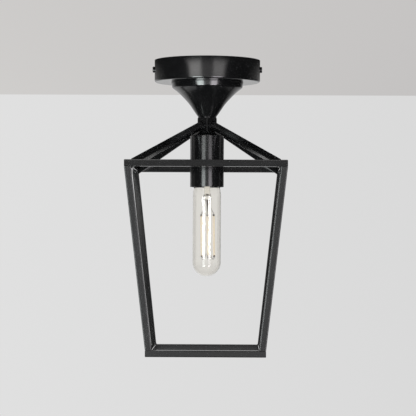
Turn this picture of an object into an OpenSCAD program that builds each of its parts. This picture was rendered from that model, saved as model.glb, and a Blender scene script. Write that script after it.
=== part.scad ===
// Porch ceiling lantern: an open four-sided cage of square tube, hung on a short
// trumpet cover from a round ceiling canopy, with one clear tubular lamp.
// Millimetres, +Z up, front towards -Y. The origin is the centre of the ceiling plane.

/* [Canopy] */
// Outside diameter of the canopy
canopy_d = 120; // [118:1:140]
// Height of the canopy, from the ceiling to its underside
canopy_h = 25; // [24.5:0.5:36]
// Sheet thickness of the canopy
canopy_wall = 1.2; // [0.8:0.1:1.6]
// Outer radius of the canopy's lower edge
canopy_edge_r = 1.8; // [1.7:0.1:4]

/* [Ceiling bracket] */
// Width of the bracket strap
strap_w = 24; // [22:1:28]
// Thickness of the bracket strap
strap_t = 2; // [1.6:0.1:2.4]
// Width of the bracket's turned-down ears
ear_w = 14; // [12:1:18]
// Length of an ear below the ceiling
ear_drop = 16; // [15:0.5:18]
// Inside radius of the bends
bend_r = 1.5; // [1:0.25:2]
// Distance between the centres of the two ceiling screw slots
slot_spacing = 80; // [78:0.5:82]
// Length of a ceiling screw slot, end to end
slot_len = 16; // [12:1:16]
// Width of a ceiling screw slot
slot_w = 4.8; // [4.4:0.1:5.2]
// Diameter of the hole that the house cable comes through
cable_hole_d = 14; // [12:0.5:16]

/* [Canopy side screws] */
// Thread diameter of a side screw
side_screw_d = 4; // [3.5:0.1:5]
// Head diameter of a side screw
side_head_d = 6.8; // [6:0.2:9]
// Head height of a side screw
side_head_h = 2.3; // [1.8:0.1:3.5]
// Length of a side screw under its head
side_screw_len = 10; // [8:0.5:12]
// Depth of the side screws' axis below the ceiling
side_screw_drop = 10.5; // [9.5:0.5:11]

/* [Trumpet cover] */
// Largest diameter of the trumpet cover
bell_d = 82; // [74:1:90]
// Height of the trumpet cover
bell_h = 40.6; // [36:0.2:50]
// Height of the upright band at the top of the cover
bell_band_h = 0.5; // [0.5:0.5:2]
// Outer radius between the band and the flare
bell_corner_r = 9; // [5:0.5:10]
// Slope of the flare at its top, from the vertical
bell_flare_angle = 53; // [50:1:56]
// Outside diameter of the neck
bell_neck_d = 20.4; // [18:0.2:22]
// Sheet thickness of the cover
bell_wall = 1; // [0.8:0.1:1.4]
// Height of the rolled lip round the foot of the neck
lip_h = 1.2; // [0.8:0.1:1.6]
// How far the rolled lip stands out
lip_out = 0.35; // [0.2:0.05:0.6]

/* [Cage] */
// Width of the square tube
tube_w = 7.5; // [6.5:0.5:9]
// Wall of the square tube
tube_wall = 0.9; // [0.7:0.1:1.2]
// Outer corner radius of the square tube
tube_corner_r = 0.9; // [0.6:0.1:1.5]
// Outside width of the upper square
top_w = 179; // [165:1:200]
// Outside width of the lower square
bottom_w = 133.5; // [120:0.5:150]
// Height of the cage, over both squares
cage_h = 217; // [190:1:260]
// Downward slope of the four arms, which lie on edge
arm_pitch = 23.65; // [20:0.05:28]
// How far the arms' axes lie below the middles of the hub and of the upper square
arm_drop = 0.7; // [0:0.1:1]
// Width across the flats of the square hub
hub_w = 16; // [15:0.5:20]
// Height of the hub
hub_h = 15; // [13:0.5:20]
// Chamfer on the hub's edges
hub_chamfer = 0.6; // [0.3:0.1:1]

/* [Threaded tube and nuts] */
// Outside diameter of the threaded tube
stem_d = 10; // [9.6:0.1:10.4]
// Bore of the threaded tube
stem_bore = 7.4; // [6.8:0.1:7.8]
// Width across the flats of the nuts
nut_af = 14; // [13:0.5:15]
// Thickness of the nuts
nut_h = 3; // [2.5:0.25:3.25]
// Thickness of the toothed washer
washer_t = 1; // [0.8:0.1:1.2]
// Outside diameter of the toothed washer
washer_d = 18; // [16:0.5:20]
// Thickness of the earth tag
tag_t = 0.8; // [0.6:0.1:1]

/* [Socket cup] */
// Outside diameter of the cup
cup_d = 38.5; // [37.5:0.5:42]
// Height of the cup with its shoulder
cup_h = 63.4; // [60:0.2:70]
// Diameter of the flat top of the cup
cup_top_d = 21; // [19:0.5:24]
// Depth of the sloping shoulder
shoulder_h = 6.6; // [5:0.2:8]
// Outer radius where the shoulder meets the side
shoulder_r = 2.6; // [1.6:0.2:3.6]
// Sheet thickness of the cup
cup_wall = 1; // [0.8:0.1:1.4]

/* [Lampholder] */
// Outside diameter of the lampholder
holder_d = 34; // [33.4:0.2:34.6]
// Wall of the lampholder's cap
cap_wall = 2; // [1.6:0.1:2.2]
// Height of the lampholder's cap
cap_h = 15; // [14.5:0.5:16]
// Length of the cap's threaded collar
collar_h = 7; // [6:0.5:7.5]
// Thickness of the insulating disc
disc_t = 6; // [5:0.25:7]
// Height of the lampholder's skirt
skirt_h = 29; // [26:0.5:31]
// Thread pitch of lamp cap and screw shell
thread_pitch = 3.63; // [3.4:0.01:3.8]
// Sheet thickness of the screw shell
shell_wall = 0.35; // [0.3:0.05:0.45]

/* [Lamp] */
// Diameter of the lamp's glass
glass_d = 32.5; // [30:0.5:34]
// Length of the lamp over all
lamp_len = 140; // [132:1:150]
// Wall of the glass
glass_wall = 0.9; // [0.6:0.1:1.2]
// Length over which the glass swells from its neck to its full diameter
lamp_swell_len = 26; // [22:1:30]
// Thread diameter of the lamp cap
lamp_cap_d = 26; // [25.8:0.1:26.1]
// Length of the lamp cap's shell
lamp_cap_len = 20.5; // [19:0.5:22]
// Diameter of a filament rod
filament_d = 1.8; // [1.2:0.1:2.2]
// Length of a filament rod
filament_len = 49; // [40:1:54]
// Radius of the ring of filament rods
filament_ring_r = 7; // [6:0.2:8]

/* [Wiring] */
// Outside diameter of a lead
lead_d = 2; // [1.6:0.1:2.2]
// Diameter of a bare conductor
core_d = 1.1; // [0.9:0.1:1.2]
// Width of the terminal block
block_w = 20; // [19:0.5:20.5]
// Depth of the terminal block, front to back
block_l = 16; // [14:0.5:18]
// Height of the terminal block
block_h = 11; // [10:0.5:11.5]

/* [Clearances] */
// Clearance on the radius of a screw or tube in its hole
fit_gap = 0.05; // [0.02:0.01:0.1]
// Clearance on the radius of a plain through hole
pass_gap = 0.3; // [0.2:0.05:0.5]
// Gap between a moving piece and its seat
seat_gap = 0.3; // [0.2:0.05:0.4]

/* [Hidden] */

black_paint = "#1c1d1f";
zinc = "#b9bcc0";
brass = "#c8a050";
porcelain = "#e9e6df";
phenolic = "#26221f";
glass_tint = [0.85, 0.9, 0.92, 0.35];

round_fn = 96;      // sides named for every revolved piece
arc_steps = 16;     // points along an arc of an outline
big = 600;          // reaches past the whole lantern

// ---- heights, from the ceiling down ----
canopy_floor_z = -canopy_h + canopy_wall;
bell_top_z = -canopy_h;
hub_top_z = bell_top_z - bell_h;
hub_mid_z = hub_top_z - hub_h / 2;
hub_bottom_z = hub_top_z - hub_h;
cup_top_z = hub_bottom_z;
cup_bottom_z = cup_top_z - cup_h;
arm_run = sqrt(2) * (top_w / 2 - tube_w) - hub_w / 2;
top_frame_z = hub_mid_z - arm_run * tan(arm_pitch) + tube_w / 2;
bottom_frame_z = top_frame_z - cage_h;
leg_top_z = top_frame_z - tube_w;
leg_bottom_z = bottom_frame_z + tube_w;
leg_run = (top_w - bottom_w) / 2;
leg_lean = atan(sqrt(2) * leg_run / (leg_top_z - leg_bottom_z));

// ---- canopy and bracket ----
canopy_in_r = canopy_d / 2 - canopy_wall;
ear_gap = 0.3;              // room between an ear's corners and the canopy
ear_x = sqrt(pow(canopy_in_r - ear_gap, 2) - pow(ear_w / 2, 2));
side_screw_z = -side_screw_drop;
screw_seat_x = canopy_d / 2;
ear_taper = 12;             // length over which the strap narrows to the ears
earth_x = -20;              // place of the earth screw along the strap
block_clear = 3.5;          // flat strap left between the cable hole and the block
block_x = cable_hole_d / 2 + block_clear + block_w / 2;
block_bottom_z = -strap_t - block_h;

// ---- small screws ----
core_room = 0.3;            // room for a bare core under a screw's head
drive_r = 1.3;              // socket in a side screw's head
drive_depth = 0.9;
earth_screw_d = 4;
earth_head_d = 8;
earth_head_h = 2;
block_screw_d = 3;
block_head_d = 5.6;
block_head_h = 2;
screw_sink = 1;             // depth of the block's screws below its face
terminal_screw_d = 3.4;
terminal_screw_head_d = 5.6;
terminal_screw_head_h = 1.8;
driver_slot = 0.7;          // width of the small screws' slots

// ---- threaded tube ----
stem_r = stem_d / 2;
stem_hole_r = stem_r + pass_gap;
stem_thread_r = stem_r + fit_gap;
washer_z = canopy_floor_z;
tag_z = washer_z + washer_t;
canopy_nut_z = tag_z + tag_t;
stem_rise = 2.5;            // thread showing above the canopy nut
stem_top_z = canopy_nut_z + nut_h + stem_rise;
cup_nut_z = cup_top_z - cup_wall - nut_h;
cap_top_z = cup_nut_z;
collar_bottom_z = cap_top_z - collar_h;
stem_bottom_z = collar_bottom_z + 0.6;

// ---- lampholder ----
holder_r = holder_d / 2;
collar_wall = 1.6;
collar_r = stem_r + collar_wall;
cap_bottom_z = cap_top_z - cap_h;
disc_r = holder_r - cap_wall - seat_gap;
disc_top_z = cap_bottom_z + disc_t / 2;
disc_bottom_z = disc_top_z - disc_t;
skirt_bottom_z = cap_bottom_z - skirt_h;
thread_depth = 0.8;         // depth of the lamp cap's rolled thread
shell_in_r = lamp_cap_d / 2 + 0.2;
shell_wave = 0.5;           // depth of the screw shell's rolled thread
shell_out_r = shell_in_r + shell_wave + shell_wall;
shell_turns = 6;
shell_top_z = disc_bottom_z;
shell_bottom_z = skirt_bottom_z + 2;
terminal_x = 10.8;          // distance of a terminal screw from the axis
terminal_t = 0.8;           // thickness of the terminal plates
terminal_w = 6;             // width of the terminal plates
terminal_end = 3;           // plate beyond the terminal screw's axis
terminal_screw_bite = 2.6;  // depth of a terminal screw in the disc
shell_rivet_x = -8;         // place of the rivet that feeds the screw shell
shell_rivet_r = 0.7;
shell_flange_r = 6.9;       // inner radius of the screw shell's top flange
terminal_top_z = disc_top_z + terminal_t;
terminal_head_z = terminal_top_z + core_d + core_room / 2;

// ---- lamp ----
lamp_tip_gap = 3.2;         // room for the spring contact above the lamp's tip
lamp_top_z = disc_bottom_z - lamp_tip_gap;
lamp_bottom_z = lamp_top_z - lamp_len;
glass_r = glass_d / 2;
tip_h = 1.4;
tip_r = 4.7;
vitrite_h = 4;
lamp_shell_top_z = lamp_top_z - tip_h - vitrite_h + 0.6;
lamp_shell_bottom_z = lamp_shell_top_z - lamp_cap_len;
lamp_shell_wall = 0.4;
neck_r = lamp_cap_d / 2 - thread_depth - lamp_shell_wall - 0.2;
glass_top_z = lamp_shell_top_z - 3;
glass_neck_z = lamp_shell_bottom_z;
glass_full_z = glass_neck_z - lamp_swell_len;
dome_z = lamp_bottom_z + glass_r;
pinch_z = glass_full_z + 3;
pinch_h = 6;
pinch_r = 3.4;
stem_in_r = 2.6;
filament_top_z = dome_z + 10.5 + filament_len - 5;
filament_bottom_z = filament_top_z - filament_len;
glass_rod_r = 1.2;    // central glass rod of the lamp
glass_rod_bottom_z = filament_bottom_z + 2;
wire_r = 0.35;

// ---- helpers ----
function arc(centre, r, from, to, steps = arc_steps) =
    [for (i = [0:steps]) let (a = from + (to - from) * i / steps) centre + r * [cos(a), sin(a)]];

module revolve(outline) rotate_extrude($fn = round_fn) polygon(outline);

// A cylinder between two heights, drawn as a rod or cut away as a hole
module rod(r, from_z, to_z) translate([0, 0, from_z]) cylinder(r = r, h = to_z - from_z, $fn = 48);

module ring(out_r, in_r, z, h) difference() {
    translate([0, 0, z]) cylinder(r = out_r, h = h, $fn = round_fn);
    rod(in_r, z - 1, z + h + 1);
}

module rounded_square(w, r) {
    square([w, w - 2 * r], center = true);
    square([w - 2 * r, w], center = true);
    for (x = [-1, 1], y = [-1, 1]) translate([x, y] * (w / 2 - r)) circle(r, $fn = 24);
}

module tube(length) linear_extrude(length) difference() {
    rounded_square(tube_w, tube_corner_r);
    rounded_square(tube_w - 2 * tube_wall, max(tube_corner_r - tube_wall, 0.2));
}

// A thin lock nut, its corners turned away top and bottom
nut_turned = 0.5;           // height over which the corners are turned away
module hex_nut(z) difference() {
    flat_r = nut_af / 2;
    corner_r = flat_r / cos(30);
    translate([0, 0, z]) intersection() {
        cylinder(r = corner_r, h = nut_h, $fn = 6);
        revolve([[0, 0], [flat_r, 0], [corner_r, nut_turned],
            [corner_r, nut_h - nut_turned], [flat_r, nut_h], [0, nut_h]]);
    }
    rod(stem_thread_r, z - 1, z + nut_h + 1);
}

// A slotted screw along +Z: its head's top at 0, its shank hanging below the head.
head_edge = 0.5;            // bevel round a screw's head
module pan_screw(head_d, head_h, d, length, slot) difference() {
    union() {
        revolve([[0, 0], [head_d / 2 - head_edge, 0], [head_d / 2, -head_edge],
            [head_d / 2, -head_h], [0, -head_h]]);
        rod(d / 2, -head_h - length, -head_h + 0.01);
    }
    cube([head_d + 1, slot, head_h], center = true);    // the slot is half the head deep
}

// ---- swept leads ----
function smooth(p, i, t) =
    let (a = p[max(i - 1, 0)], b = p[i], c = p[i + 1], d = p[min(i + 2, len(p) - 1)])
    0.5 * ((2 * b) + (c - a) * t + (2 * a - 5 * b + 4 * c - d) * t * t
        + (3 * b - a - 3 * c + d) * t * t * t);
function route(p, steps) = concat(
    [for (i = [0:len(p) - 2], s = [0:steps - 1]) smooth(p, i, s / steps)], [p[len(p) - 1]]);
function unit(v) = v / norm(v);
function heading(p, i) = unit(p[min(i + 1, len(p) - 1)] - p[max(i - 1, 0)]);
function carried(side, along) = unit(side - (side * along) * along);
function sides_of(p, i = 0, side = [0.31, 0.17, 0.93]) =
    let (s = carried(side, heading(p, i)))
    i == len(p) - 1 ? [s] : concat([s], sides_of(p, i + 1, s));
// r holds a radius for every point of the path
module swept(p, r, n = 8) {
    side = sides_of(p);
    last = len(p) - 1;
    points = [for (i = [0:last]) let (t = heading(p, i), u = side[i], w = cross(t, u))
        for (k = [0:n - 1]) p[i] + r[i] * (cos(360 * k / n) * u + sin(360 * k / n) * w)];
    walls = [for (i = [0:last - 1], k = [0:n - 1]) each
        let (a = i * n + k, b = i * n + (k + 1) % n)
        [[a, b, a + n], [b, b + n, a + n]]];
    polyhedron(points, concat(walls, [[for (k = [n - 1:-1:0]) k]], [[for (k = [0:n - 1]) last * n + k]]));
}

// ---- ceiling bracket ----
module strap_outline() {
    wide_x = ear_x - ear_taper - bend_r - strap_t;
    flat_x = ear_x - strap_t - bend_r;
    polygon([[-wide_x, -strap_w / 2], [wide_x, -strap_w / 2], [flat_x, -ear_w / 2], [flat_x, ear_w / 2],
        [wide_x, strap_w / 2], [-wide_x, strap_w / 2], [-flat_x, ear_w / 2], [-flat_x, -ear_w / 2]]);
}

module ear() {
    bend_x = ear_x - strap_t - bend_r;
    bend_z = -strap_t - bend_r;
    translate([bend_x, ear_w / 2, bend_z]) rotate([90, 0, 0]) linear_extrude(ear_w) intersection() {
        difference() {
            circle(bend_r + strap_t, $fn = 48);
            circle(bend_r, $fn = 48);
        }
        square(bend_r + strap_t);
    }
    translate([ear_x - strap_t, -ear_w / 2, -ear_drop]) cube([strap_t, ear_w, ear_drop + bend_z]);
}

module slot_cut() {
    straight = slot_len - slot_w;
    translate([-straight / 2, -slot_w / 2, -strap_t - 1]) cube([straight, slot_w, strap_t + 2]);
    for (x = [-1, 1]) translate([x * straight / 2, 0, 0]) rod(slot_w / 2, -strap_t - 1, 1);
}

module ceiling_bracket() color(zinc) difference() {
    union() {
        translate([0, 0, -strap_t]) linear_extrude(strap_t) strap_outline();
        ear();
        mirror([1, 0, 0]) ear();
    }
    rod(cable_hole_d / 2, -strap_t - 1, 1);
    for (x = [-1, 1]) translate([x * slot_spacing / 2, 0, 0]) slot_cut();
    translate([earth_x, 0, 0]) rod(earth_screw_d / 2 + fit_gap, -strap_t - 1, 1);
    translate([block_x, 0, 0]) rod(block_screw_d / 2 + fit_gap, -strap_t - 1, 1);
    for (x = [-1, 1]) translate([x * (ear_x - strap_t / 2), 0, side_screw_z]) rotate([0, 90, 0])
        rod(side_screw_d / 2 + fit_gap, -strap_t, strap_t);
}

// ---- canopy ----
module canopy() color(black_paint) difference() {
    revolve(concat([[canopy_d / 2, 0]],
        arc([canopy_d / 2 - canopy_edge_r, -canopy_h + canopy_edge_r], canopy_edge_r, 0, -90, 8),
        [[stem_hole_r, -canopy_h], [stem_hole_r, canopy_floor_z]],
        arc([canopy_d / 2 - canopy_edge_r, -canopy_h + canopy_edge_r], canopy_edge_r - canopy_wall, -90, 0, 8),
        [[canopy_in_r, 0]]));
    for (x = [-1, 1]) translate([x * (canopy_d / 2), 0, side_screw_z]) rotate([0, 90, 0])
        rod(side_screw_d / 2 + pass_gap, -5, 5);
}

// side is -1 on the left and 1 on the right
module canopy_screw(side) color(black_paint) translate([side * screw_seat_x, 0, side_screw_z])
    rotate([0, side * 90, 0]) {
        revolve([[0, 0], [side_head_d / 2, 0], [side_head_d / 2, side_head_h - head_edge],
            [side_head_d / 2 - head_edge, side_head_h], [drive_r, side_head_h],
            [drive_r, side_head_h - drive_depth], [0, side_head_h - drive_depth]]);
        rod(side_screw_d / 2, -side_screw_len, 0.01);
    }

module earth_screw() color("#3f8f4a")
    translate([earth_x, 0, -strap_t - core_d - core_room - earth_head_h]) rotate([180, 0, 0])
        pan_screw(earth_head_d, earth_head_h, earth_screw_d, core_d + core_room + strap_t, driver_slot);

// ---- terminal block ----
pole_x = block_w / 4;
clamp_r = 2.2;              // brass clamp tubes
clamp_bore_r = 1.4;
clamp_z = -strap_t - block_h / 2 + 0.8;
clamp_len = block_l - 3;
clamp_screw_y = clamp_len / 4;
clamp_screw_r = 1.3;
clamp_hole_r = 2;           // driver's way in to a clamp screw
module at_poles() for (side = [-1, 1]) translate([block_x + side * pole_x, 0, 0]) children();
module at_clamp_screws() at_poles() for (y = [-1, 1]) translate([0, y * clamp_screw_y, 0]) children();

module terminal_block() color(porcelain) difference() {
    translate([block_x - block_w / 2, -block_l / 2, block_bottom_z]) cube([block_w, block_l, block_h]);
    at_poles() translate([0, 0, clamp_z]) rotate([90, 0, 0]) rod(clamp_r + fit_gap, -block_l, block_l);
    at_clamp_screws() rod(clamp_hole_r, block_bottom_z - 1, clamp_z);
    translate([block_x, 0, 0]) rod(block_screw_d / 2 + pass_gap, block_bottom_z - 1, 1);
    translate([block_x, 0, 0])
        rod(block_head_d / 2 + pass_gap, block_bottom_z - 1, block_bottom_z + screw_sink + block_head_h);
}

module terminal_clamps() color(brass) difference() {
    at_poles() translate([0, 0, clamp_z]) rotate([90, 0, 0]) rod(clamp_r, -clamp_len / 2, clamp_len / 2);
    at_poles() translate([0, 0, clamp_z]) rotate([90, 0, 0]) rod(clamp_bore_r, -clamp_len, clamp_len);
    at_clamp_screws() rod(clamp_screw_r + fit_gap, clamp_z - clamp_r - 1, clamp_z);
}

// Headless screws that press on the cores from below
module terminal_screws() color(zinc) at_clamp_screws() difference() {
    rod(clamp_screw_r, block_bottom_z + screw_sink, clamp_z - core_d / 2 - 0.1);
    translate([0, 0, block_bottom_z + screw_sink]) cube([4 * clamp_screw_r, driver_slot, 1.2], center = true);
}

module block_screw() color(zinc) translate([block_x, 0, block_bottom_z + screw_sink]) rotate([180, 0, 0])
    pan_screw(block_head_d, block_head_h, block_screw_d, block_h - screw_sink - block_head_h + strap_t,
        driver_slot);

// ---- threaded tube and what is on it ----
module threaded_tube() color(zinc) ring(stem_r, stem_bore / 2, stem_bottom_z, stem_top_z - stem_bottom_z);

module canopy_nut() color(zinc) hex_nut(canopy_nut_z);
module cup_nut() color(zinc) hex_nut(cup_nut_z);

tooth_count = 12;
tooth_len = 1.6;
tooth_w = 2;
module toothed_washer() color(zinc) {
    ring(washer_d / 2 - tooth_len, stem_hole_r, washer_z, washer_t);
    for (i = [0:tooth_count - 1]) rotate(i * 360 / tooth_count)
        translate([washer_d / 2 - 1.5 * tooth_len, -tooth_w / 2, washer_z])
            cube([1.5 * tooth_len, tooth_w, washer_t]);
}

tag_angle = 215;            // way the tag points, seen from above
tag_w = 5;
tag_reach = washer_d / 2 + 7;
crimp_len = 5;
crimp_wall = 0.8;
module earth_tag() color(brass) difference() {
    union() {
        rod((washer_d - 1) / 2, tag_z, tag_z + tag_t);
        rotate(tag_angle) translate([0, -tag_w / 2, tag_z]) cube([tag_reach, tag_w, tag_t]);
        rotate(tag_angle) translate([tag_reach - crimp_len, 0, tag_z + tag_t + core_d / 2 - 0.05])
            rotate([0, 90, 0]) difference() {
                rod(core_d / 2 + crimp_wall, 0, crimp_len);
                rod(core_d / 2 + fit_gap, -1, crimp_len + 1);
            }
    }
    rod(stem_hole_r, tag_z - 1, tag_z + tag_t + 1);
}

// ---- trumpet cover ----
bell_corner_c = [bell_d / 2 - bell_corner_r, bell_top_z - bell_band_h];
flare_start = bell_corner_c + bell_corner_r * [cos(bell_flare_angle), -sin(bell_flare_angle)];
flare_end_r = bell_neck_d / 2;
flare_end_z = hub_top_z + lip_h;
flare_mean = atan((flare_start.x - flare_end_r) / (flare_start.y - flare_end_z));
flare_end_angle = 2 * flare_mean - bell_flare_angle;
flare_r = (flare_start.y - flare_end_z) / (sin(bell_flare_angle) - sin(flare_end_angle));
flare_c = flare_start + flare_r * [cos(bell_flare_angle), -sin(bell_flare_angle)];
module trumpet_cover() color(black_paint) revolve(concat(
    [[bell_d / 2, bell_top_z]],
    arc(bell_corner_c, bell_corner_r, 0, -bell_flare_angle),
    arc(flare_c, flare_r, 180 - bell_flare_angle, 180 - flare_end_angle, 2 * arc_steps),
    [[flare_end_r + lip_out, flare_end_z - 0.3], [flare_end_r + lip_out, hub_top_z + 0.3],
        [flare_end_r, hub_top_z], [stem_hole_r, hub_top_z], [stem_hole_r, hub_top_z + bell_wall],
        [flare_end_r - 2 * bell_wall, hub_top_z + bell_wall]],
    arc(flare_c, flare_r + bell_wall, 180 - flare_end_angle, 180 - bell_flare_angle, 2 * arc_steps),
    arc(bell_corner_c, bell_corner_r - bell_wall, -bell_flare_angle, 0),
    [[bell_d / 2 - bell_wall, bell_top_z]]));

// ---- cage ----
// The hub stands corner on to the front, so that each face looks along an arm.
module frame_hub() color(black_paint) difference() {
    rotate(45) translate([0, 0, hub_bottom_z]) linear_extrude(hub_h) intersection() {
        square(hub_w, center = true);
        rotate(45) square((hub_w - hub_chamfer) * sqrt(2), center = true);
    }
    rod(stem_hole_r, hub_bottom_z - 1, hub_top_z + 1);
}

// quarter counts the corners: 0 front left, 1 front right, 2 rear right, 3 rear left
// An arm is turned on edge. It butts on the hub, and its other end fits into the corner
// of the upper square and, below the bars, against the top of the leg.
module arm(quarter) color(black_paint) difference() {
    intersection() {
        rotate(225 + 90 * quarter) translate([hub_w / 2, 0, hub_mid_z - arm_drop])
            rotate([0, 90 + arm_pitch, 0]) translate([0, 0, -tube_w]) rotate(45)
                tube(arm_run / cos(arm_pitch) + 3 * tube_w);
        rotate(225 + 90 * quarter) translate([hub_w / 2, -big / 2, -big]) cube(big);
        translate([0, 0, -big]) linear_extrude(big) square(top_w - 2 * tube_w, center = true);
    }
    along_leg(quarter) linear_extrude(leg_reach) rounded_square(tube_w, tube_corner_r);
}

// One side of a square, mitred at both ends; side counts 0 front, 1 right, 2 rear, 3 left
module bar(side, width, top_z) color(black_paint) rotate(90 * side) intersection() {
    translate([-width / 2, (tube_w - width) / 2, top_z - tube_w / 2]) rotate([0, 90, 0]) tube(width);
    translate([0, 0, top_z - 2 * tube_w]) linear_extrude(3 * tube_w)
        polygon([[0, 0], [-width / 2, -width / 2], [width / 2, -width / 2]]);
}
module top_bar(side) bar(side, top_w, top_frame_z);
module bottom_bar(side) bar(side, bottom_w, bottom_frame_z + tube_w);

// A leg leans both ways, towards the lantern's axis, and is cut level at both ends.
leg_reach = (leg_top_z - leg_bottom_z) / cos(leg_lean) + 4 * tube_w;
module along_leg(quarter) rotate(90 * quarter)
    translate([-1, -1, 0] * (bottom_w - tube_w) / 2 + [0, 0, leg_bottom_z])
        rotate(a = leg_lean, v = [1, -1, 0]) translate([0, 0, -2 * tube_w]) children();
module leg(quarter) color(black_paint) intersection() {
    along_leg(quarter) tube(leg_reach);
    translate([-big / 2, -big / 2, leg_bottom_z]) cube([big, big, leg_top_z - leg_bottom_z]);
}

// ---- socket cup ----
cup_r = cup_d / 2;
shoulder_c = [cup_r - shoulder_r, cup_top_z - shoulder_h];
shoulder_top = [cup_top_d / 2, cup_top_z];
shoulder_sight = shoulder_top - shoulder_c;
shoulder_angle = atan2(shoulder_sight.y, shoulder_sight.x) - acos(shoulder_r / norm(shoulder_sight));
shoulder_slope = [-sin(shoulder_angle), cos(shoulder_angle)];
shoulder_in = shoulder_c + (shoulder_r - cup_wall) * [cos(shoulder_angle), sin(shoulder_angle)];
shoulder_rise = (cup_top_z - cup_wall - shoulder_in.y) / shoulder_slope.y;
module socket_cup() color(black_paint) revolve(concat(
    [[stem_hole_r, cup_top_z], shoulder_top],
    arc(shoulder_c, shoulder_r, shoulder_angle, 0, 8),
    [[cup_r, cup_bottom_z], [cup_r - cup_wall, cup_bottom_z]],
    arc(shoulder_c, shoulder_r - cup_wall, 0, shoulder_angle, 8),
    [shoulder_in + shoulder_rise * shoulder_slope, [stem_hole_r, cup_top_z - cup_wall]]));

// ---- lampholder ----
// The cap's crown slopes to clear the shoulder of the cup.
crown_r = 12;
crown_h = 3.4;
module holder_cap() color(phenolic) revolve([
    [stem_thread_r, cap_top_z], [crown_r, cap_top_z], [holder_r, cap_top_z - crown_h],
    [holder_r, cap_bottom_z], [holder_r - cap_wall, cap_bottom_z],
    [holder_r - cap_wall, cap_top_z - crown_h - cap_wall / 2], [crown_r - cap_wall / 2, cap_top_z - cap_wall],
    [collar_r, cap_top_z - cap_wall], [collar_r, collar_bottom_z], [stem_thread_r, collar_bottom_z]]);

module holder_disc() color(porcelain) difference() {
    translate([0, 0, disc_bottom_z]) cylinder(r = disc_r, h = disc_t, $fn = round_fn);
    rod(rivet_r + fit_gap, disc_bottom_z - 1, disc_top_z + 1);
    translate([shell_rivet_x, 0, 0]) rod(shell_rivet_r + fit_gap, disc_bottom_z - 1, disc_top_z + 1);
    for (x = [-1, 1]) translate([x * terminal_x, 0, 0])
        rod(terminal_screw_d / 2 + fit_gap, disc_top_z - terminal_screw_bite - 0.4, disc_top_z + 1);
}

skirt_seat_r = holder_r - cap_wall;
skirt_in_r = shell_out_r + pass_gap / 2;
skirt_edge = 1;
module holder_skirt() color(phenolic) revolve([
    [skirt_seat_r, cap_bottom_z], [holder_r, cap_bottom_z], [holder_r, skirt_bottom_z + skirt_edge],
    [holder_r - skirt_edge, skirt_bottom_z], [skirt_in_r, skirt_bottom_z],
    [skirt_in_r, disc_bottom_z], [skirt_seat_r, disc_bottom_z]]);

wave_steps = 6;
function thread_outline(r, depth, top_z, turns) = [for (i = [0:turns * wave_steps])
    [r + depth * (0.5 - 0.5 * cos(360 * i / wave_steps)), top_z - thread_pitch * i / wave_steps]];
function flipped(p) = [for (i = [len(p) - 1:-1:0]) p[i]];
module screw_shell() color(brass) {
    first_z = shell_top_z - 1.2;
    revolve(concat(
        [[shell_flange_r, shell_top_z], [shell_flange_r, shell_top_z - shell_wall],
            [shell_in_r, shell_top_z - shell_wall]],
        thread_outline(shell_in_r, shell_wave, first_z, shell_turns),
        [[shell_in_r, shell_bottom_z], [shell_in_r + shell_wall, shell_bottom_z]],
        flipped(thread_outline(shell_in_r + shell_wall, shell_wave, first_z, shell_turns)),
        [[shell_in_r + shell_wall, shell_top_z]]));
}

contact_w = 5;
contact_t = 0.4;
contact_reach = 5.8;        // half length of the contact's foot on the disc
rivet_r = 1.5;
tongue_end = 3.5;           // end of the springy tongue past the axis
module centre_contact() color(brass) {
    tongue_z = lamp_top_z + seat_gap;
    translate([-rivet_r - 1, -contact_w / 2, disc_bottom_z - contact_t])
        cube([contact_reach + rivet_r + 1, contact_w, contact_t]);
    translate([0, contact_w / 2, 0]) rotate([90, 0, 0]) linear_extrude(contact_w) polygon([
        [contact_reach, disc_bottom_z - contact_t + 0.01], [contact_reach, disc_bottom_z - 2 * contact_t],
        [-rivet_r, tongue_z], [-tongue_end, tongue_z], [-tongue_end, tongue_z + contact_t],
        [-rivet_r, tongue_z + contact_t], [contact_reach - 4 * contact_t, disc_bottom_z - contact_t + 0.01]]);
    rod(rivet_r, disc_bottom_z - contact_t, terminal_top_z);
}

module holder_terminals() color(brass) {
    difference() {
        union() {
            translate([-rivet_r - 1, -terminal_w / 2, disc_top_z])
                cube([terminal_x + terminal_end + rivet_r + 1, terminal_w, terminal_t]);
            translate([-terminal_x - terminal_end, -terminal_w / 2, disc_top_z])
                cube([terminal_x + terminal_end + shell_rivet_x + 1.2, terminal_w, terminal_t]);
        }
        rod(rivet_r + fit_gap, disc_top_z - 1, terminal_top_z + 1);
        for (x = [-1, 1]) translate([x * terminal_x, 0, 0])
            rod(terminal_screw_d / 2 + fit_gap, disc_top_z - 1, terminal_top_z + 1);
    }
    translate([shell_rivet_x, 0, 0]) rod(shell_rivet_r, disc_bottom_z, disc_top_z + 0.01);
}

module holder_terminal_screws() color(zinc) for (x = [-1, 1])
    translate([x * terminal_x, 0, terminal_head_z + terminal_screw_head_h])
        pan_screw(terminal_screw_head_d, terminal_screw_head_h, terminal_screw_d,
            terminal_head_z - disc_top_z + terminal_screw_bite, driver_slot);

// ---- leads, held inside from the block to the lampholder ----
strip_step = 0.2;           // length over which the cover ends and the bare core starts
// A covered lead along its middle points, with a straight bare core at each end.
module lead(core_from, points, core_to) {
    covered = route(points, 5);
    last = len(covered) - 1;
    head = covered[0] + strip_step * unit(core_from - covered[0]);
    tail = covered[last] + strip_step * unit(core_to[0] - covered[last]);
    path = concat([core_from, head], covered, [tail], core_to);
    bare = core_d / 2;
    swept(path, [for (i = [0:len(path) - 1])
        i < 2 || i > last + 2 ? bare : lead_d / 2]);
}

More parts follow.
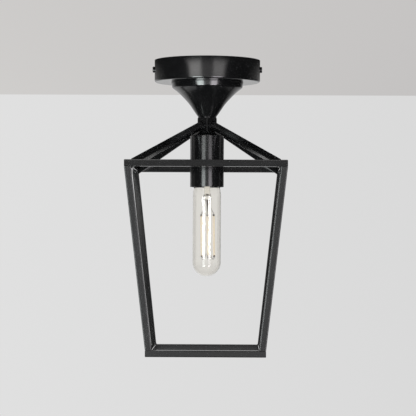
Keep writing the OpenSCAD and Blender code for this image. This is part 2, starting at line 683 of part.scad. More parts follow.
// side is 1 for the live lead and -1 for the neutral one
module lamp_lead(side) {
    pole = block_x - side * pole_x;
    inside = side * (stem_bore / 4);
    reach = 7 - 3 * side;       // the neutral lead swings outside the live one
    core_z = terminal_top_z + core_d / 2 + 0.05;
    core_y = (terminal_screw_d + core_d) / 2 + 0.1;
    lead([pole, -clamp_screw_y + 2, clamp_z], [
        [pole, -block_l / 2 - 0.5, clamp_z],
        [pole - 0.5, -block_l / 2 - reach / 2, clamp_z],
        [pole - 5, -block_l / 2 - reach, clamp_z - 1],
        [4 + side * 3, -block_l / 2 - reach + 1, clamp_z - 1],
        [inside, -6, clamp_z + 0.5],
        [inside, -1.5, clamp_z - 2],
        [inside, 0, stem_top_z - 4],
        [inside, 0, stem_top_z - 20],
        [inside, 0, (stem_top_z + stem_bottom_z) / 2],
        [inside, 0, stem_bottom_z + 8],
        [inside, 0, stem_bottom_z + 1],
        [side * 3, 0.8, stem_bottom_z - 2],
        [side * 5.6, 2, terminal_top_z + lead_d / 2 + 0.2]],
        [[side * (terminal_x - 2.6), core_y, core_z], [side * (terminal_x + 2), core_y, core_z]]);
}
module live_lead() color("#7a4a2a") lamp_lead(1);
module neutral_lead() color("#3a5fa8") lamp_lead(-1);

module earth_lead() color("#7fae3a") {
    out = [cos(tag_angle), sin(tag_angle), 0];
    crimp_z = tag_z + tag_t + core_d / 2;
    head_y = -(earth_screw_d + core_d) / 2 - 0.1;
    core_z = -strap_t - core_d / 2 - 0.1;
    lead((tag_reach - 4) * out + [0, 0, crimp_z], [
        (tag_reach + 1) * out + [0, 0, crimp_z],
        (tag_reach + 5) * out + [0, 0, crimp_z + 0.8],
        [earth_x - 7, -14, -14],
        [earth_x - 8, -9, -7],
        [earth_x - 6, -4, -strap_t - lead_d / 2 - 0.3]],
        [[earth_x - 4, head_y, core_z], [earth_x + 2, head_y, core_z]]);
}

// ---- lamp ----
module lamp_tip() color(brass) revolve(concat([[0, lamp_top_z]],
    [for (i = [1:6]) [tip_r * i / 6, lamp_top_z - tip_h * (1 - sqrt(1 - pow(i / 6.3, 2)))]],
    [[tip_r, lamp_top_z - tip_h], [0, lamp_top_z - tip_h]]));

vitrite_top_z = lamp_top_z - tip_h;
lamp_shell_r = lamp_cap_d / 2;
module lamp_cap_insulator() color("#15161c") revolve([
    [0, vitrite_top_z], [tip_r + 0.8, vitrite_top_z], [lamp_shell_r - 3.6, vitrite_top_z - vitrite_h + 1],
    [lamp_shell_r - 3.6, vitrite_top_z - vitrite_h - 1], [0, vitrite_top_z - vitrite_h - 1]]);

lamp_thread_turns = 4;
module lamp_cap() color("#c9c4b4") {
    root_r = lamp_shell_r - thread_depth;
    first_z = lamp_shell_top_z - 2.2;
    last_z = first_z - lamp_thread_turns * thread_pitch;
    in_r = root_r - lamp_shell_wall;
    revolve(concat(
        [[lamp_shell_r - 3.5, lamp_shell_top_z], [root_r - 1, lamp_shell_top_z],
            [root_r, lamp_shell_top_z - 1]],
        thread_outline(root_r, thread_depth, first_z, lamp_thread_turns),
        [[root_r, last_z - 1], [lamp_shell_r, lamp_shell_bottom_z], [in_r + thread_depth, lamp_shell_bottom_z],
            [in_r, last_z - 1]],
        flipped(thread_outline(in_r, thread_depth, first_z, lamp_thread_turns)),
        [[in_r, lamp_shell_top_z - 1.4], [lamp_shell_r - 3.5, lamp_shell_top_z - lamp_shell_wall]]));
}

// The glass swells from its neck to the full tube on two equal arcs, and closes in a round end.
swell_h = (glass_neck_z - glass_full_z) / 2;
swell_w = (glass_r - neck_r) / 2;
swell_r = (swell_h * swell_h + swell_w * swell_w) / (2 * swell_w);
swell_angle = asin(swell_h / swell_r);
function glass_outline(inset) = concat(
    [[neck_r - inset, glass_top_z]],
    arc([neck_r + swell_r, glass_neck_z], swell_r + inset, 180, 180 + swell_angle, 8),
    arc([glass_r - swell_r, glass_full_z], swell_r - inset, swell_angle, 0, 8),
    arc([0, dome_z], glass_r - inset, 0, -90));
module lamp_glass() color(glass_tint)
    revolve(concat(glass_outline(0), flipped(glass_outline(glass_wall))));

// The inner stem flares out to meet the neck, and holds the pinch and the central glass rod.
stem_flare_r = neck_r - glass_wall - 0.1;
stem_wall = 1;
flare_top_z = glass_neck_z + 6;
flare_bottom_z = glass_neck_z - 8;
module lamp_stem() color(glass_tint) {
    revolve([[stem_flare_r, flare_top_z], [stem_flare_r - stem_wall, flare_top_z],
        [stem_in_r + 2, glass_neck_z], [stem_in_r, flare_bottom_z], [stem_in_r, pinch_z + pinch_h],
        [0, pinch_z + pinch_h], [0, pinch_z], [pinch_r, pinch_z], [pinch_r, flare_bottom_z],
        [pinch_r + 2.2, glass_neck_z + 0.6]]);
    rod(glass_rod_r, glass_rod_bottom_z, pinch_z + 1);
}

module at_filaments() for (a = [0:90:270]) rotate(a) translate([filament_ring_r, 0, 0]) children();
hook_z = glass_rod_bottom_z + 1.5;      // height of the lower wires on the rod
module bent_wire(path) swept(path, [for (p = path) wire_r], 6);
module lamp_support_wires() color(zinc) for (a = [0:90:270]) rotate(a) {
    bent_wire([[2 * glass_rod_r, 0, pinch_z], [2 * glass_rod_r, 0, pinch_z - 1],
        [filament_ring_r, 0, filament_top_z + 3], [filament_ring_r, 0, filament_top_z]]);
    bent_wire([[glass_rod_r + 0.02, 0, hook_z], [glass_rod_r + 1, 0, hook_z],
        [filament_ring_r - 0.6, 0, filament_bottom_z - 2],
        [filament_ring_r, 0, filament_bottom_z - 1.4], [filament_ring_r, 0, filament_bottom_z]]);
}
module lamp_filaments() color("#e8c860") at_filaments() rod(filament_d / 2, filament_bottom_z, filament_top_z);

ceiling_bracket();
canopy();
canopy_screw(-1);  // canopy_screw_left
canopy_screw(1);  // canopy_screw_right
earth_screw();
terminal_block();
terminal_clamps();
terminal_screws();
block_screw();
threaded_tube();
canopy_nut();
toothed_washer();
earth_tag();
trumpet_cover();
frame_hub();
arm(0);  // arm_front_left
arm(1);  // arm_front_right
arm(2);  // arm_rear_right
arm(3);  // arm_rear_left
top_bar(0);  // top_bar_front
top_bar(1);  // top_bar_right
top_bar(2);  // top_bar_rear
top_bar(3);  // top_bar_left
leg(0);  // leg_front_left
leg(1);  // leg_front_right
leg(2);  // leg_rear_right
leg(3);  // leg_rear_left
bottom_bar(0);  // bottom_bar_front
bottom_bar(1);  // bottom_bar_right
bottom_bar(2);  // bottom_bar_rear
bottom_bar(3);  // bottom_bar_left
socket_cup();
cup_nut();
holder_cap();
holder_disc();
holder_skirt();
screw_shell();
centre_contact();
holder_terminals();
holder_terminal_screws();
live_lead();
neutral_lead();
earth_lead();
lamp_glass();
lamp_cap();
lamp_cap_insulator();
lamp_tip();
lamp_stem();
lamp_support_wires();
lamp_filaments();
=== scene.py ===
import math

import bmesh
import bpy
from mathutils import Matrix, Vector


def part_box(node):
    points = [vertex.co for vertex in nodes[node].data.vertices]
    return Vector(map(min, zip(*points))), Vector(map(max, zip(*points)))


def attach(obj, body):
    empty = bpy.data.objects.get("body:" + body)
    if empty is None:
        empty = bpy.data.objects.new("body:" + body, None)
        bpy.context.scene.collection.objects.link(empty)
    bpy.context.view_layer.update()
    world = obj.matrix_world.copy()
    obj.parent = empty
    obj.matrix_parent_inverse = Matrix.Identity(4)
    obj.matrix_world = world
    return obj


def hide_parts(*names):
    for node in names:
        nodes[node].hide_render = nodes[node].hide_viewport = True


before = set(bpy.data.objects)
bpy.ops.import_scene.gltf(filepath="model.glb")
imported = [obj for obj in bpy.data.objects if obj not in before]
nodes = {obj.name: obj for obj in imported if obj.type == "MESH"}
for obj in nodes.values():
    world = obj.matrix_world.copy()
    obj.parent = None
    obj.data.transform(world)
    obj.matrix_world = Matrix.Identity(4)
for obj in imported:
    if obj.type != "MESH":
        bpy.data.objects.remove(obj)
for leftOver in ("Cube", "Light", "Camera"):        # Blender's own first objects, if they are there
    if leftOver in bpy.data.objects:
        bpy.data.objects.remove(bpy.data.objects[leftOver])
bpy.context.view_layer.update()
scene = bpy.context.scene
scene.view_settings.view_transform = "Standard"
mm = 0.001
up = Vector((0, 0, 1))
print("frame loaded,", len(nodes), "nodes")


# camera: a little right of straight on, at the height of the lamp's middle
focalPixels = 1858.1            # of the same lens, in pixels of a square picture 416 wide
camera = {
    "place": (0.0277, -2.1136, -0.2076),
    "lens": 160.8, "sensor": 36, "farEnd": 50,
    "turn": 0.0131,             # from straight along +Y to the lantern's axis
    "aside": 1.18 / focalPixels,    # axis off the middle of the picture
    "lift": 34.89 / focalPixels,
    "roll": 0.0042,
}


def addCamera():
    lensData = bpy.data.cameras.new("camera")
    lensData.lens = camera["lens"]
    lensData.sensor_width = camera["sensor"]
    lensData.clip_end = camera["farEnd"]
    toAxis = Vector((-camera["turn"], 1, 0)).normalized()
    side = toAxis.cross(up)
    forward = (toAxis + side * camera["aside"] + up * camera["lift"]).normalized()
    right = side * math.cos(camera["roll"]) + up * math.sin(camera["roll"])
    right = (right - forward * right.dot(forward)).normalized()
    turned = Matrix((right, right.cross(forward), -forward)).transposed().to_4x4()
    lensObject = bpy.data.objects.new("camera", lensData)
    lensObject.matrix_world = Matrix.Translation(camera["place"]) @ turned
    scene.collection.objects.link(lensObject)
    scene.camera = lensObject


# shader helpers

def put(tree, kind, inputs=None, **settings):
    node = tree.nodes.new("ShaderNode" + kind)
    for name, value in settings.items():
        setattr(node, name, value)
    for name, value in (inputs or {}).items():
        if isinstance(value, bpy.types.NodeSocket):
            tree.links.new(value, node.inputs[name])
        else:
            node.inputs[name].default_value = value
    return node


def mixColour(tree, factor, first, second):
    mix = put(tree, "Mix", {0: factor, 6: first, 7: second}, data_type="RGBA")
    return mix.outputs[2]


def mathOf(tree, operation, first, second=0.0):
    return put(tree, "Math", {0: first, 1: second}, operation=operation).outputs[0]


def times(tree, first, second):
    return mathOf(tree, "MULTIPLY", first, second)


def plus(tree, first, second):
    return mathOf(tree, "ADD", first, second)


def remap(tree, value, fromLow, fromHigh, toLow, toHigh):
    node = put(tree, "MapRange", {"Value": value, "From Min": fromLow, "From Max": fromHigh,
                                  "To Min": toLow, "To Max": toHigh})
    return node.outputs["Result"]


surfaceOutputs = {"Colour": "Color", "Roughness": "Float", "Height": "Float"}
glassOutputs = {"Roughness": "Float", "Height": "Float"}


def startGroup(name, inputs, outputs=surfaceOutputs):
    group = bpy.data.node_groups.new(name, "ShaderNodeTree")
    for label, kind in inputs.items():
        group.interface.new_socket(label, in_out="INPUT", socket_type="NodeSocket" + kind)
    for label, kind in outputs.items():
        group.interface.new_socket(label, in_out="OUTPUT", socket_type="NodeSocket" + kind)
    return group, group.nodes.new("NodeGroupInput").outputs, group.nodes.new("NodeGroupOutput").inputs


def noiseAt(tree, vector, scale, detail=2.0, distortion=0.0):
    return put(tree, "TexNoise", {"Vector": vector, "Scale": scale, "Detail": detail,
                                  "Distortion": distortion}).outputs["Fac"]


powder = {
    "broadScale": 22.0, "broad": (0.3, 0.75), "broadTone": 0.35,
    "speckScale": 420.0, "speck": (0.04, 0.09), "speckTone": 0.4, "speckHeight": 0.2,
    "drawRoughness": 0.03,
}


def makePowderCoat():
    # Draw and Draw depth are left at nothing where the part is no drawn tube
    group, given, out = startGroup("powder coat", {
        "Vector": "Vector", "Colour": "Color", "Pale": "Color", "Peel scale": "Float",
        "Draw": "Vector", "Draw depth": "Float", "Roughness": "Float", "Spread": "Float"})
    broad = noiseAt(group, given["Vector"], powder["broadScale"], 3.0)
    peel = noiseAt(group, given["Vector"], given["Peel scale"], 0.5)
    drawn = put(group, "VectorMath", {0: given["Vector"], 1: given["Draw"]}, operation="MULTIPLY")
    lines = mathOf(group, "SUBTRACT", noiseAt(group, drawn.outputs[0], 1.0, 2.0), 0.5)
    specks = put(group, "TexVoronoi", {"Vector": given["Vector"], "Scale": powder["speckScale"]})
    speck = remap(group, specks.outputs["Distance"], *powder["speck"], 1.0, 0.0)
    tone = times(group, remap(group, broad, *powder["broad"], 0.0, 1.0), powder["broadTone"])
    tone = plus(group, tone, times(group, speck, powder["speckTone"]))
    group.links.new(mixColour(group, tone, given["Colour"], given["Pale"]), out["Colour"])
    drawDepth = times(group, lines, given["Draw depth"])
    rough = times(group, mathOf(group, "SUBTRACT", broad, 0.5), given["Spread"])
    rough = plus(group, rough, given["Roughness"])
    rough = plus(group, rough, times(group, drawDepth, powder["drawRoughness"]))
    group.links.new(rough, out["Roughness"])
    height = plus(group, peel, times(group, speck, powder["speckHeight"]))
    group.links.new(plus(group, height, drawDepth), out["Height"])
    return group


patina = {"scale": 160.0, "swirl": 0.6, "patch": (0.35, 0.75), "least": 0.1, "middle": 0.75,
          "height": 0.3}


def makeMetalGrain():
    group, given, out = startGroup("metal grain", {
        "Vector": "Vector", "Colour": "Color", "Stain": "Color", "Grain": "Vector",
        "Roughness": "Float", "Spread": "Float"})
    cloud = noiseAt(group, given["Vector"], patina["scale"], 4.0, patina["swirl"])
    patches = remap(group, cloud, *patina["patch"], 0.0, 1.0)
    streaked = put(group, "VectorMath", {0: given["Vector"], 1: given["Grain"]}, operation="MULTIPLY")
    streak = noiseAt(group, streaked.outputs[0], 1.0, 3.0)
    stain = times(group, patches, plus(group, streak, patina["least"]))
    group.links.new(mixColour(group, stain, given["Colour"], given["Stain"]), out["Colour"])
    swing = mathOf(group, "SUBTRACT", plus(group, streak, patches), patina["middle"])
    rough = plus(group, given["Roughness"], times(group, swing, given["Spread"]))
    group.links.new(rough, out["Roughness"])
    worn = times(group, patches, patina["height"])
    group.links.new(plus(group, streak, worn), out["Height"])
    return group


mottle = {"scale": 120.0, "swirl": 0.8, "cloud": (0.35, 0.7), "cloudHeight": 0.6,
          "fleckScale": 900.0, "fleck": (0.06, 0.16), "grainScale": 2400.0}


def makeMoulding():
    group, given, out = startGroup("moulding", {
        "Vector": "Vector", "Colour": "Color", "Mottle": "Color", "Amount": "Float",
        "Roughness": "Float", "Spread": "Float"})
    cloud = noiseAt(group, given["Vector"], mottle["scale"], 4.0, mottle["swirl"])
    cloud = remap(group, cloud, *mottle["cloud"], 0.0, 1.0)
    grit = put(group, "TexVoronoi", {"Vector": given["Vector"], "Scale": mottle["fleckScale"]})
    fleck = remap(group, grit.outputs["Distance"], *mottle["fleck"], 1.0, 0.0)
    tone = times(group, plus(group, cloud, fleck), given["Amount"])
    group.links.new(mixColour(group, tone, given["Colour"], given["Mottle"]), out["Colour"])
    swing = times(group, mathOf(group, "SUBTRACT", cloud, 0.5), given["Spread"])
    group.links.new(plus(group, given["Roughness"], swing), out["Roughness"])
    grain = noiseAt(group, given["Vector"], mottle["grainScale"], 2.0)
    clouds = times(group, cloud, mottle["cloudHeight"])
    group.links.new(plus(group, grain, clouds), out["Height"])
    return group


powderCoat = makePowderCoat()
metalGrain = makeMetalGrain()
moulding = makeMoulding()


def startMaterial(name, colour):
    material = bpy.data.materials.new(name)
    material.use_nodes = True
    material.diffuse_color = colour
    tree = material.node_tree
    shader = tree.nodes["Principled BSDF"]
    place = tree.nodes.new("ShaderNodeTexCoord").outputs["Object"]
    return material, tree, shader, place


def addBump(tree, height, distance, shader):
    bump = put(tree, "Bump", {"Height": height, "Strength": 1.0, "Distance": distance})
    tree.links.new(bump.outputs["Normal"], shader.inputs["Normal"])


def useGroup(tree, group, inputs, shader, bumpDistance):
    surface = put(tree, "Group", inputs, node_tree=group).outputs
    if "Colour" in surface:
        tree.links.new(surface["Colour"], shader.inputs["Base Color"])
    tree.links.new(surface["Roughness"], shader.inputs["Roughness"])
    addBump(tree, surface["Height"], bumpDistance, shader)


blackPaint = {
    "colour": (0.0035, 0.0036, 0.0039, 1),
    "pale": (0.012, 0.0122, 0.013, 1),
    "peelScale": 380.0,
    "roughness": 0.175,
    "spread": 0.05,
    "peel": 0.003 * mm,
    "specular": 1.0,
    "tubeRoughness": 0.13,
    "tubePeelScale": 260.0,
    "drawAcross": 520.0,        # lines drawn along the square tubes show faintly through the paint
    "drawAlong": 9.0,
    "drawDepth": 3.4,           # times the peel
}


def makeBlackPaint(name="black powder coat", along=None):
    # along is the way that a square tube was drawn; turned and pressed parts have no such lines
    material, tree, shader, place = startMaterial(name, blackPaint["colour"])
    inputs = {"Vector": place, "Colour": blackPaint["colour"], "Pale": blackPaint["pale"],
              "Peel scale": blackPaint["peelScale"], "Roughness": blackPaint["roughness"],
              "Spread": blackPaint["spread"]}
    if along:
        inputs["Roughness"] = blackPaint["tubeRoughness"]
        inputs["Peel scale"] = blackPaint["tubePeelScale"]
        inputs["Draw"] = [blackPaint["drawAlong" if axis == along else "drawAcross"] for axis in "xyz"]
        inputs["Draw depth"] = blackPaint["drawDepth"]
    useGroup(tree, powderCoat, inputs, shader, blackPaint["peel"])
    shader.inputs["Specular IOR Level"].default_value = blackPaint["specular"]
    return material


# a value for each label, and then the depth of the bump
metalLabels = ("Colour", "Stain", "Grain", "Roughness", "Spread")
metals = {
    "bright_zinc": ((0.56, 0.575, 0.6, 1), (0.33, 0.34, 0.35, 1), (900, 900, 120), 0.3, 0.18, 0.012 * mm),
    "brass": ((0.7, 0.47, 0.2, 1), (0.42, 0.26, 0.1, 1), (150, 900, 900), 0.25, 0.16, 0.01 * mm),
    "nickel_shell": ((0.62, 0.58, 0.49, 1), (0.4, 0.35, 0.27, 1), (700, 700, 60), 0.26, 0.12, 0.006 * mm),
    "solder": ((0.45, 0.45, 0.44, 1), (0.22, 0.22, 0.21, 1), (500, 500, 500), 0.42, 0.2, 0.02 * mm),
    "support_wire": ((0.4, 0.38, 0.36, 1), (0.2, 0.18, 0.17, 1), (900, 900, 200), 0.35, 0.12, 0.004 * mm),
}

mouldingLabels = ("Colour", "Mottle", "Amount", "Roughness", "Spread")
mouldings = {
    "porcelain": ((0.78, 0.76, 0.7, 1), (0.66, 0.63, 0.56, 1), 0.35, 0.16, 0.08, 0.01 * mm),
    "phenolic": ((0.022, 0.018, 0.016, 1), (0.05, 0.035, 0.026, 1), 0.5, 0.3, 0.12, 0.015 * mm),
    "block_plastic": ((0.72, 0.72, 0.68, 1), (0.62, 0.61, 0.56, 1), 0.4, 0.38, 0.1, 0.02 * mm),
    "green_enamel": ((0.03, 0.22, 0.06, 1), (0.06, 0.32, 0.1, 1), 0.5, 0.24, 0.1, 0.01 * mm),
    "brown_cover": ((0.16, 0.065, 0.028, 1), (0.2, 0.085, 0.04, 1), 0.5, 0.4, 0.1, 0.015 * mm),
    "blue_cover": ((0.03, 0.085, 0.3, 1), (0.04, 0.11, 0.36, 1), 0.5, 0.4, 0.1, 0.015 * mm),
    "black_glass": ((0.006, 0.006, 0.009, 1), (0.015, 0.015, 0.02, 1), 0.5, 0.12, 0.08, 0.03 * mm),
    "yellow_stripe": ((0.75, 0.55, 0.03, 1), (0.8, 0.62, 0.08, 1), 0.5, 0.4, 0.1, 0.015 * mm),
    "filament": ((0.95, 0.86, 0.7, 1), (0.88, 0.74, 0.55, 1), 0.5, 0.45, 0.1, 0.01 * mm),
}


def makeFinish(title, group, labels, facts, metallic=0):
    material, tree, shader, place = startMaterial(title, facts[0])
    shader.inputs["Metallic"].default_value = metallic
    useGroup(tree, group, {"Vector": place, **dict(zip(labels, facts))}, shader, facts[-1])
    return material


lampGlass = {
    "colour": (1.0, 0.987, 0.955, 1), "inViewport": (0.9, 0.93, 0.94, 0.3),
    "ior": 1.38, "stemIor": 1.5, "rodIor": 1.2,
    "smearScale": 60.0, "smear": (0.45, 0.8), "roughness": (0.0, 0.012),
    "ripple": (60, 60, 9), "wave": 0.0015 * mm,
}


def makeDrawnGlass():
    # faint smears, and ripples along the way that the glass was drawn
    group, given, out = startGroup("drawn glass", {
        "Vector": "Vector", "Smear scale": "Float", "Clean": "Float", "Smeared": "Float",
        "Ripple": "Vector"}, glassOutputs)
    smear = noiseAt(group, given["Vector"], given["Smear scale"], 3.0, 1.0)
    rough = remap(group, smear, *lampGlass["smear"], given["Clean"], given["Smeared"])
    group.links.new(rough, out["Roughness"])
    drawn = put(group, "VectorMath", {0: given["Vector"], 1: given["Ripple"]}, operation="MULTIPLY")
    group.links.new(noiseAt(group, drawn.outputs[0], 1.0, 2.0), out["Height"])
    return group


drawnGlass = makeDrawnGlass()


def makeGlass(name, ior):
    material, tree, shader, place = startMaterial(name, lampGlass["inViewport"])
    shader.inputs["Base Color"].default_value = lampGlass["colour"]
    shader.inputs["Transmission Weight"].default_value = 1
    shader.inputs["IOR"].default_value = ior
    clean, smeared = lampGlass["roughness"]
    inputs = {"Vector": place, "Smear scale": lampGlass["smearScale"], "Clean": clean,
              "Smeared": smeared, "Ripple": lampGlass["ripple"]}
    useGroup(tree, drawnGlass, inputs, shader, lampGlass["wave"])
    return material


finishes = {
    "black_paint": makeBlackPaint(),
    "clear_glass": makeGlass("clear lamp glass", lampGlass["ior"]),
    "stem_glass": makeGlass("stem glass", lampGlass["stemIor"]),
    "rod_glass": makeGlass("rod glass", lampGlass["rodIor"]),
}
for name, facts in metals.items():
    finishes[name] = makeFinish(name.replace("_", " ") + " metal", metalGrain, metalLabels, facts, 1)
for name, facts in mouldings.items():
    finishes[name] = makeFinish(name.replace("_", " ") + " finish", moulding, mouldingLabels, facts)
finishes["green_yellow_cover"] = finishes["green_enamel"]
# painted light: the filament rods glow faintly though the lamp is not lit, in place of the panels' light
# that the glass keeps from them
filamentPaintedGlow = {"Emission Color": (1.0, 0.87, 0.68, 1), "Emission Strength": 0.5}
for label, value in filamentPaintedGlow.items():
    finishes["filament"].node_tree.nodes["Principled BSDF"].inputs[label].default_value = value
drawnFinishes = {}
for along in "xyz":
    drawnFinishes[along] = makeBlackPaint("black powder coat, tube along " + along, along)
for name, node in nodes.items():
    along = "z" if name.startswith("leg_") else None
    if "_bar_" in name:
        along = "x" if name.endswith(("front", "rear")) else "y"
    for materialSlot in node.material_slots:
        materialSlot.material = drawnFinishes[along] if along else finishes[materialSlot.material.name]
print("finishes made:", len(finishes))


def meshObject(name, shape, material=None):
    mesh = bpy.data.meshes.new(name)
    shape.to_mesh(mesh)
    shape.free()
    thing = bpy.data.objects.new(name, mesh)
    scene.collection.objects.link(thing)
    if material:
        mesh.materials.append(material)
    return thing


# making pieces, in millimetres

def boxOf(name):
    low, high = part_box(name)
    return Vector(low) / mm, Vector(high) / mm


def vertsIn(parts):
    return [part for part in parts if isinstance(part, bmesh.types.BMVert)]


def arcPoints(centre, radius, start, end, steps):
    turns = [math.radians(start + (end - start) * step / steps) for step in range(steps + 1)]
    return [(centre[0] + radius * math.cos(turn), centre[1] + radius * math.sin(turn)) for turn in turns]


def lathe(outline, steps=96, closed=False):
    # turns an outline of (radius, height) about the upright axis
    shape = bmesh.new()
    verts = [shape.verts.new((radius, 0, height)) for radius, height in outline]
    edges = [shape.edges.new(pair) for pair in zip(verts, verts[1:])]
    if closed:
        edges.append(shape.edges.new((verts[-1], verts[0])))
    bmesh.ops.spin(shape, geom=verts + edges, cent=(0, 0, 0), axis=(0, 0, 1), dvec=(0, 0, 0),
                   angle=2 * math.pi, steps=steps, use_merge=True)
    bmesh.ops.remove_doubles(shape, verts=shape.verts, dist=1e-5)
    return shape


def rows(radius, fromZ, toZ, step):
    # points down a straight side, close enough together to carry a thread
    count = max(1, round(abs(toZ - fromZ) / step))
    return [(radius, fromZ + (toZ - fromZ) * index / count) for index in range(count + 1)]


threadMargin = 0.01     # a skin this far inside the core still counts as the thread's


def rollThread(shape, topZ, bottomZ, pitch, depth, keepBelow):
    # moves the skin in and out along a right-handed helix; it fades over one turn at each end
    for vert in shape.verts:
        radius = vert.co.xy.length
        if radius < keepBelow or not bottomZ <= vert.co.z <= topZ:
            continue
        turn = math.atan2(vert.co.y, vert.co.x) / (2 * math.pi)
        wave = 0.5 - 0.5 * math.cos(2 * math.pi * ((vert.co.z - topZ) / pitch - turn))
        fade = min(1, (topZ - vert.co.z) / pitch, (vert.co.z - bottomZ) / pitch)
        grow = (radius + depth * fade * wave) / radius
        vert.co.x *= grow
        vert.co.y *= grow


def headings(points):
    last = len(points) - 1
    return [(points[min(i + 1, last)] - points[max(i - 1, 0)]).normalized() for i in range(last + 1)]


def sweep(points, radii, sides=12, shape=None):
    # a round section carried along the points, closed at both ends
    shape = shape or bmesh.new()
    along = headings(points)
    turned = up.rotation_difference(along[0])
    first = bmesh.ops.create_circle(shape, segments=sides, radius=1.0)["verts"]
    ring = [(vert, vert.co.copy()) for vert in first]
    edges = list({edge for vert in first for edge in vert.link_edges})
    rings = []
    for index, point in enumerate(points):
        if index:
            turned = along[index - 1].rotation_difference(along[index]) @ turned
            made = bmesh.ops.extrude_edge_only(shape, edges=edges)["geom"]
            newVerts = vertsIn(made)
            edges = [part for part in made if isinstance(part, bmesh.types.BMEdge)
                     and all(vert in newVerts for vert in part.verts)]
            flat = {old: local for old, local in ring}
            ring = []
            for vert in newVerts:
                old = next(edge.other_vert(vert) for edge in vert.link_edges
                           if edge.other_vert(vert) in flat)
                ring.append((vert, flat[old]))
        rings.append((ring, point, radii[index] if isinstance(radii, list) else radii, turned.copy()))
    for ring, point, radius, turn in rings:
        for vert, local in ring:
            vert.co = point + turn @ (local * radius)
    for ring in (rings[0][0], rings[-1][0]):
        bmesh.ops.contextual_create(shape, geom=[vert for vert, _ in ring])
    return shape


def smoothRoute(points, steps):
    # a smooth curve that goes through every point
    points = [Vector(point) for point in points]
    route = []
    for i in range(len(points) - 1):
        a, b = points[max(i - 1, 0)], points[i]
        c, d = points[i + 1], points[min(i + 2, len(points) - 1)]
        for step in range(steps):
            t = step / steps
            route.append(0.5 * (2 * b + (c - a) * t + (2 * a - 5 * b + 4 * c - d) * t * t
                                + (3 * b - a - 3 * c + d) * t * t * t))
    return route + [points[-1]]


def moveShape(shape, turn=None, move=(0, 0, 0)):
    if turn is not None:
        bmesh.ops.rotate(shape, verts=shape.verts, cent=(0, 0, 0), matrix=turn)
    bmesh.ops.translate(shape, verts=shape.verts, vec=move)
    return shape


def finishPiece(name, shape, body, slotName, replaced=(), finish=None, sharp=35):
    bmesh.ops.recalc_face_normals(shape, faces=shape.faces)
    bmesh.ops.scale(shape, verts=shape.verts, vec=(mm, mm, mm))
    piece = meshObject(name, shape, finish or finishes[slotName])
    piece.data.polygons.foreach_set("use_smooth", [True] * len(piece.data.polygons))
    piece.data.set_sharp_from_angle(angle=math.radians(sharp))
    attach(piece, body)
    if replaced:
        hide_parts(*replaced)
    return piece


# canopy side screws: pan heads with a hexagon socket and a fine thread

sideScrew = {
    "headD": 6.8, "headH": 2.3, "crown": 0.7, "edge": 0.15, "underCut": 0.25,
    "socketD": 2.9, "socketDeep": 1.1, "socketRim": 0.25, "socketLip": 0.12,
    "threadD": 4.0, "length": 10.0, "pitch": 0.7, "threadDeep": 0.4, "point": 0.6, "neck": 0.3,
    "rowsPerTurn": 6,
}


def makeSideScrew(name, side):
    facts = sideScrew
    headR, headH, crown, edge = facts["headD"] / 2, facts["headH"], facts["crown"], facts["edge"]
    coreR, socketR = facts["threadD"] / 2 - facts["threadDeep"], facts["socketD"] / 2
    tip, pointZ, neckZ = -facts["length"], facts["point"] - facts["length"], -facts["underCut"]
    turns = [math.radians(turn) for turn in range(90, -1, -15)]
    crownArc = [(headR - crown * (1 - math.sin(turn)), headH - crown * (1 - math.cos(turn)))
                for turn in turns]
    outline = [(0, tip), (coreR - facts["point"], tip)]
    outline += rows(coreR, pointZ, neckZ, facts["pitch"] / facts["rowsPerTurn"])
    outline += [(coreR + facts["neck"], 0), (headR - edge, 0), (headR, edge)] + crownArc
    shape = lathe(outline + [(socketR + facts["socketRim"], headH)], 48)
    rollThread(shape, neckZ, pointZ, facts["pitch"], facts["threadDeep"], coreR - threadMargin)
    rim = [edge for edge in shape.edges if edge.is_boundary]
    socket = bmesh.ops.create_circle(shape, segments=6, radius=socketR)["verts"]
    bmesh.ops.translate(shape, verts=socket, vec=(0, 0, headH - facts["socketLip"]))
    socketEdges = list({edge for vert in socket for edge in vert.link_edges})
    bmesh.ops.bridge_loops(shape, edges=rim + socketEdges)
    walls = bmesh.ops.extrude_edge_only(shape, edges=socketEdges)["geom"]
    floor = vertsIn(walls)
    bmesh.ops.translate(shape, verts=floor, vec=(0, 0, -facts["socketDeep"]))
    bmesh.ops.contextual_create(shape, geom=floor)
    low, high = boxOf("canopy_screw_" + name)
    seat = high.x - headH if side > 0 else low.x + headH
    moveShape(shape, Matrix.Rotation(side * math.pi / 2, 3, "Y"), (seat, 0, (low.z + high.z) / 2))
    finishPiece("sideScrew" + name.title(), shape, "side_screw_" + name, "black_paint",
                ("canopy_screw_" + name,))


# trumpet cover: a spun shell with a crisp slanted band under the canopy

trumpet = {
    "rimR": 41.0, "straight": 1.5, "bandR": 40.0, "bandEnd": 6.2, "corner": 0.9,
    # radius, depth below the canopy
    "flare": [(33.0, 11.7), (26.2, 18.4), (20.2, 25.2), (15.5, 32.0), (12.2, 36.8), (10.2, 39.4)],
    "rimEdge": 0.4, "rimEase": 0.04, "cornerPull": 0.25, "lipEdge": 0.25, "seam": 0.3,
    "lip": 0.35, "holeR": 5.3, "wall": 1.0,
}


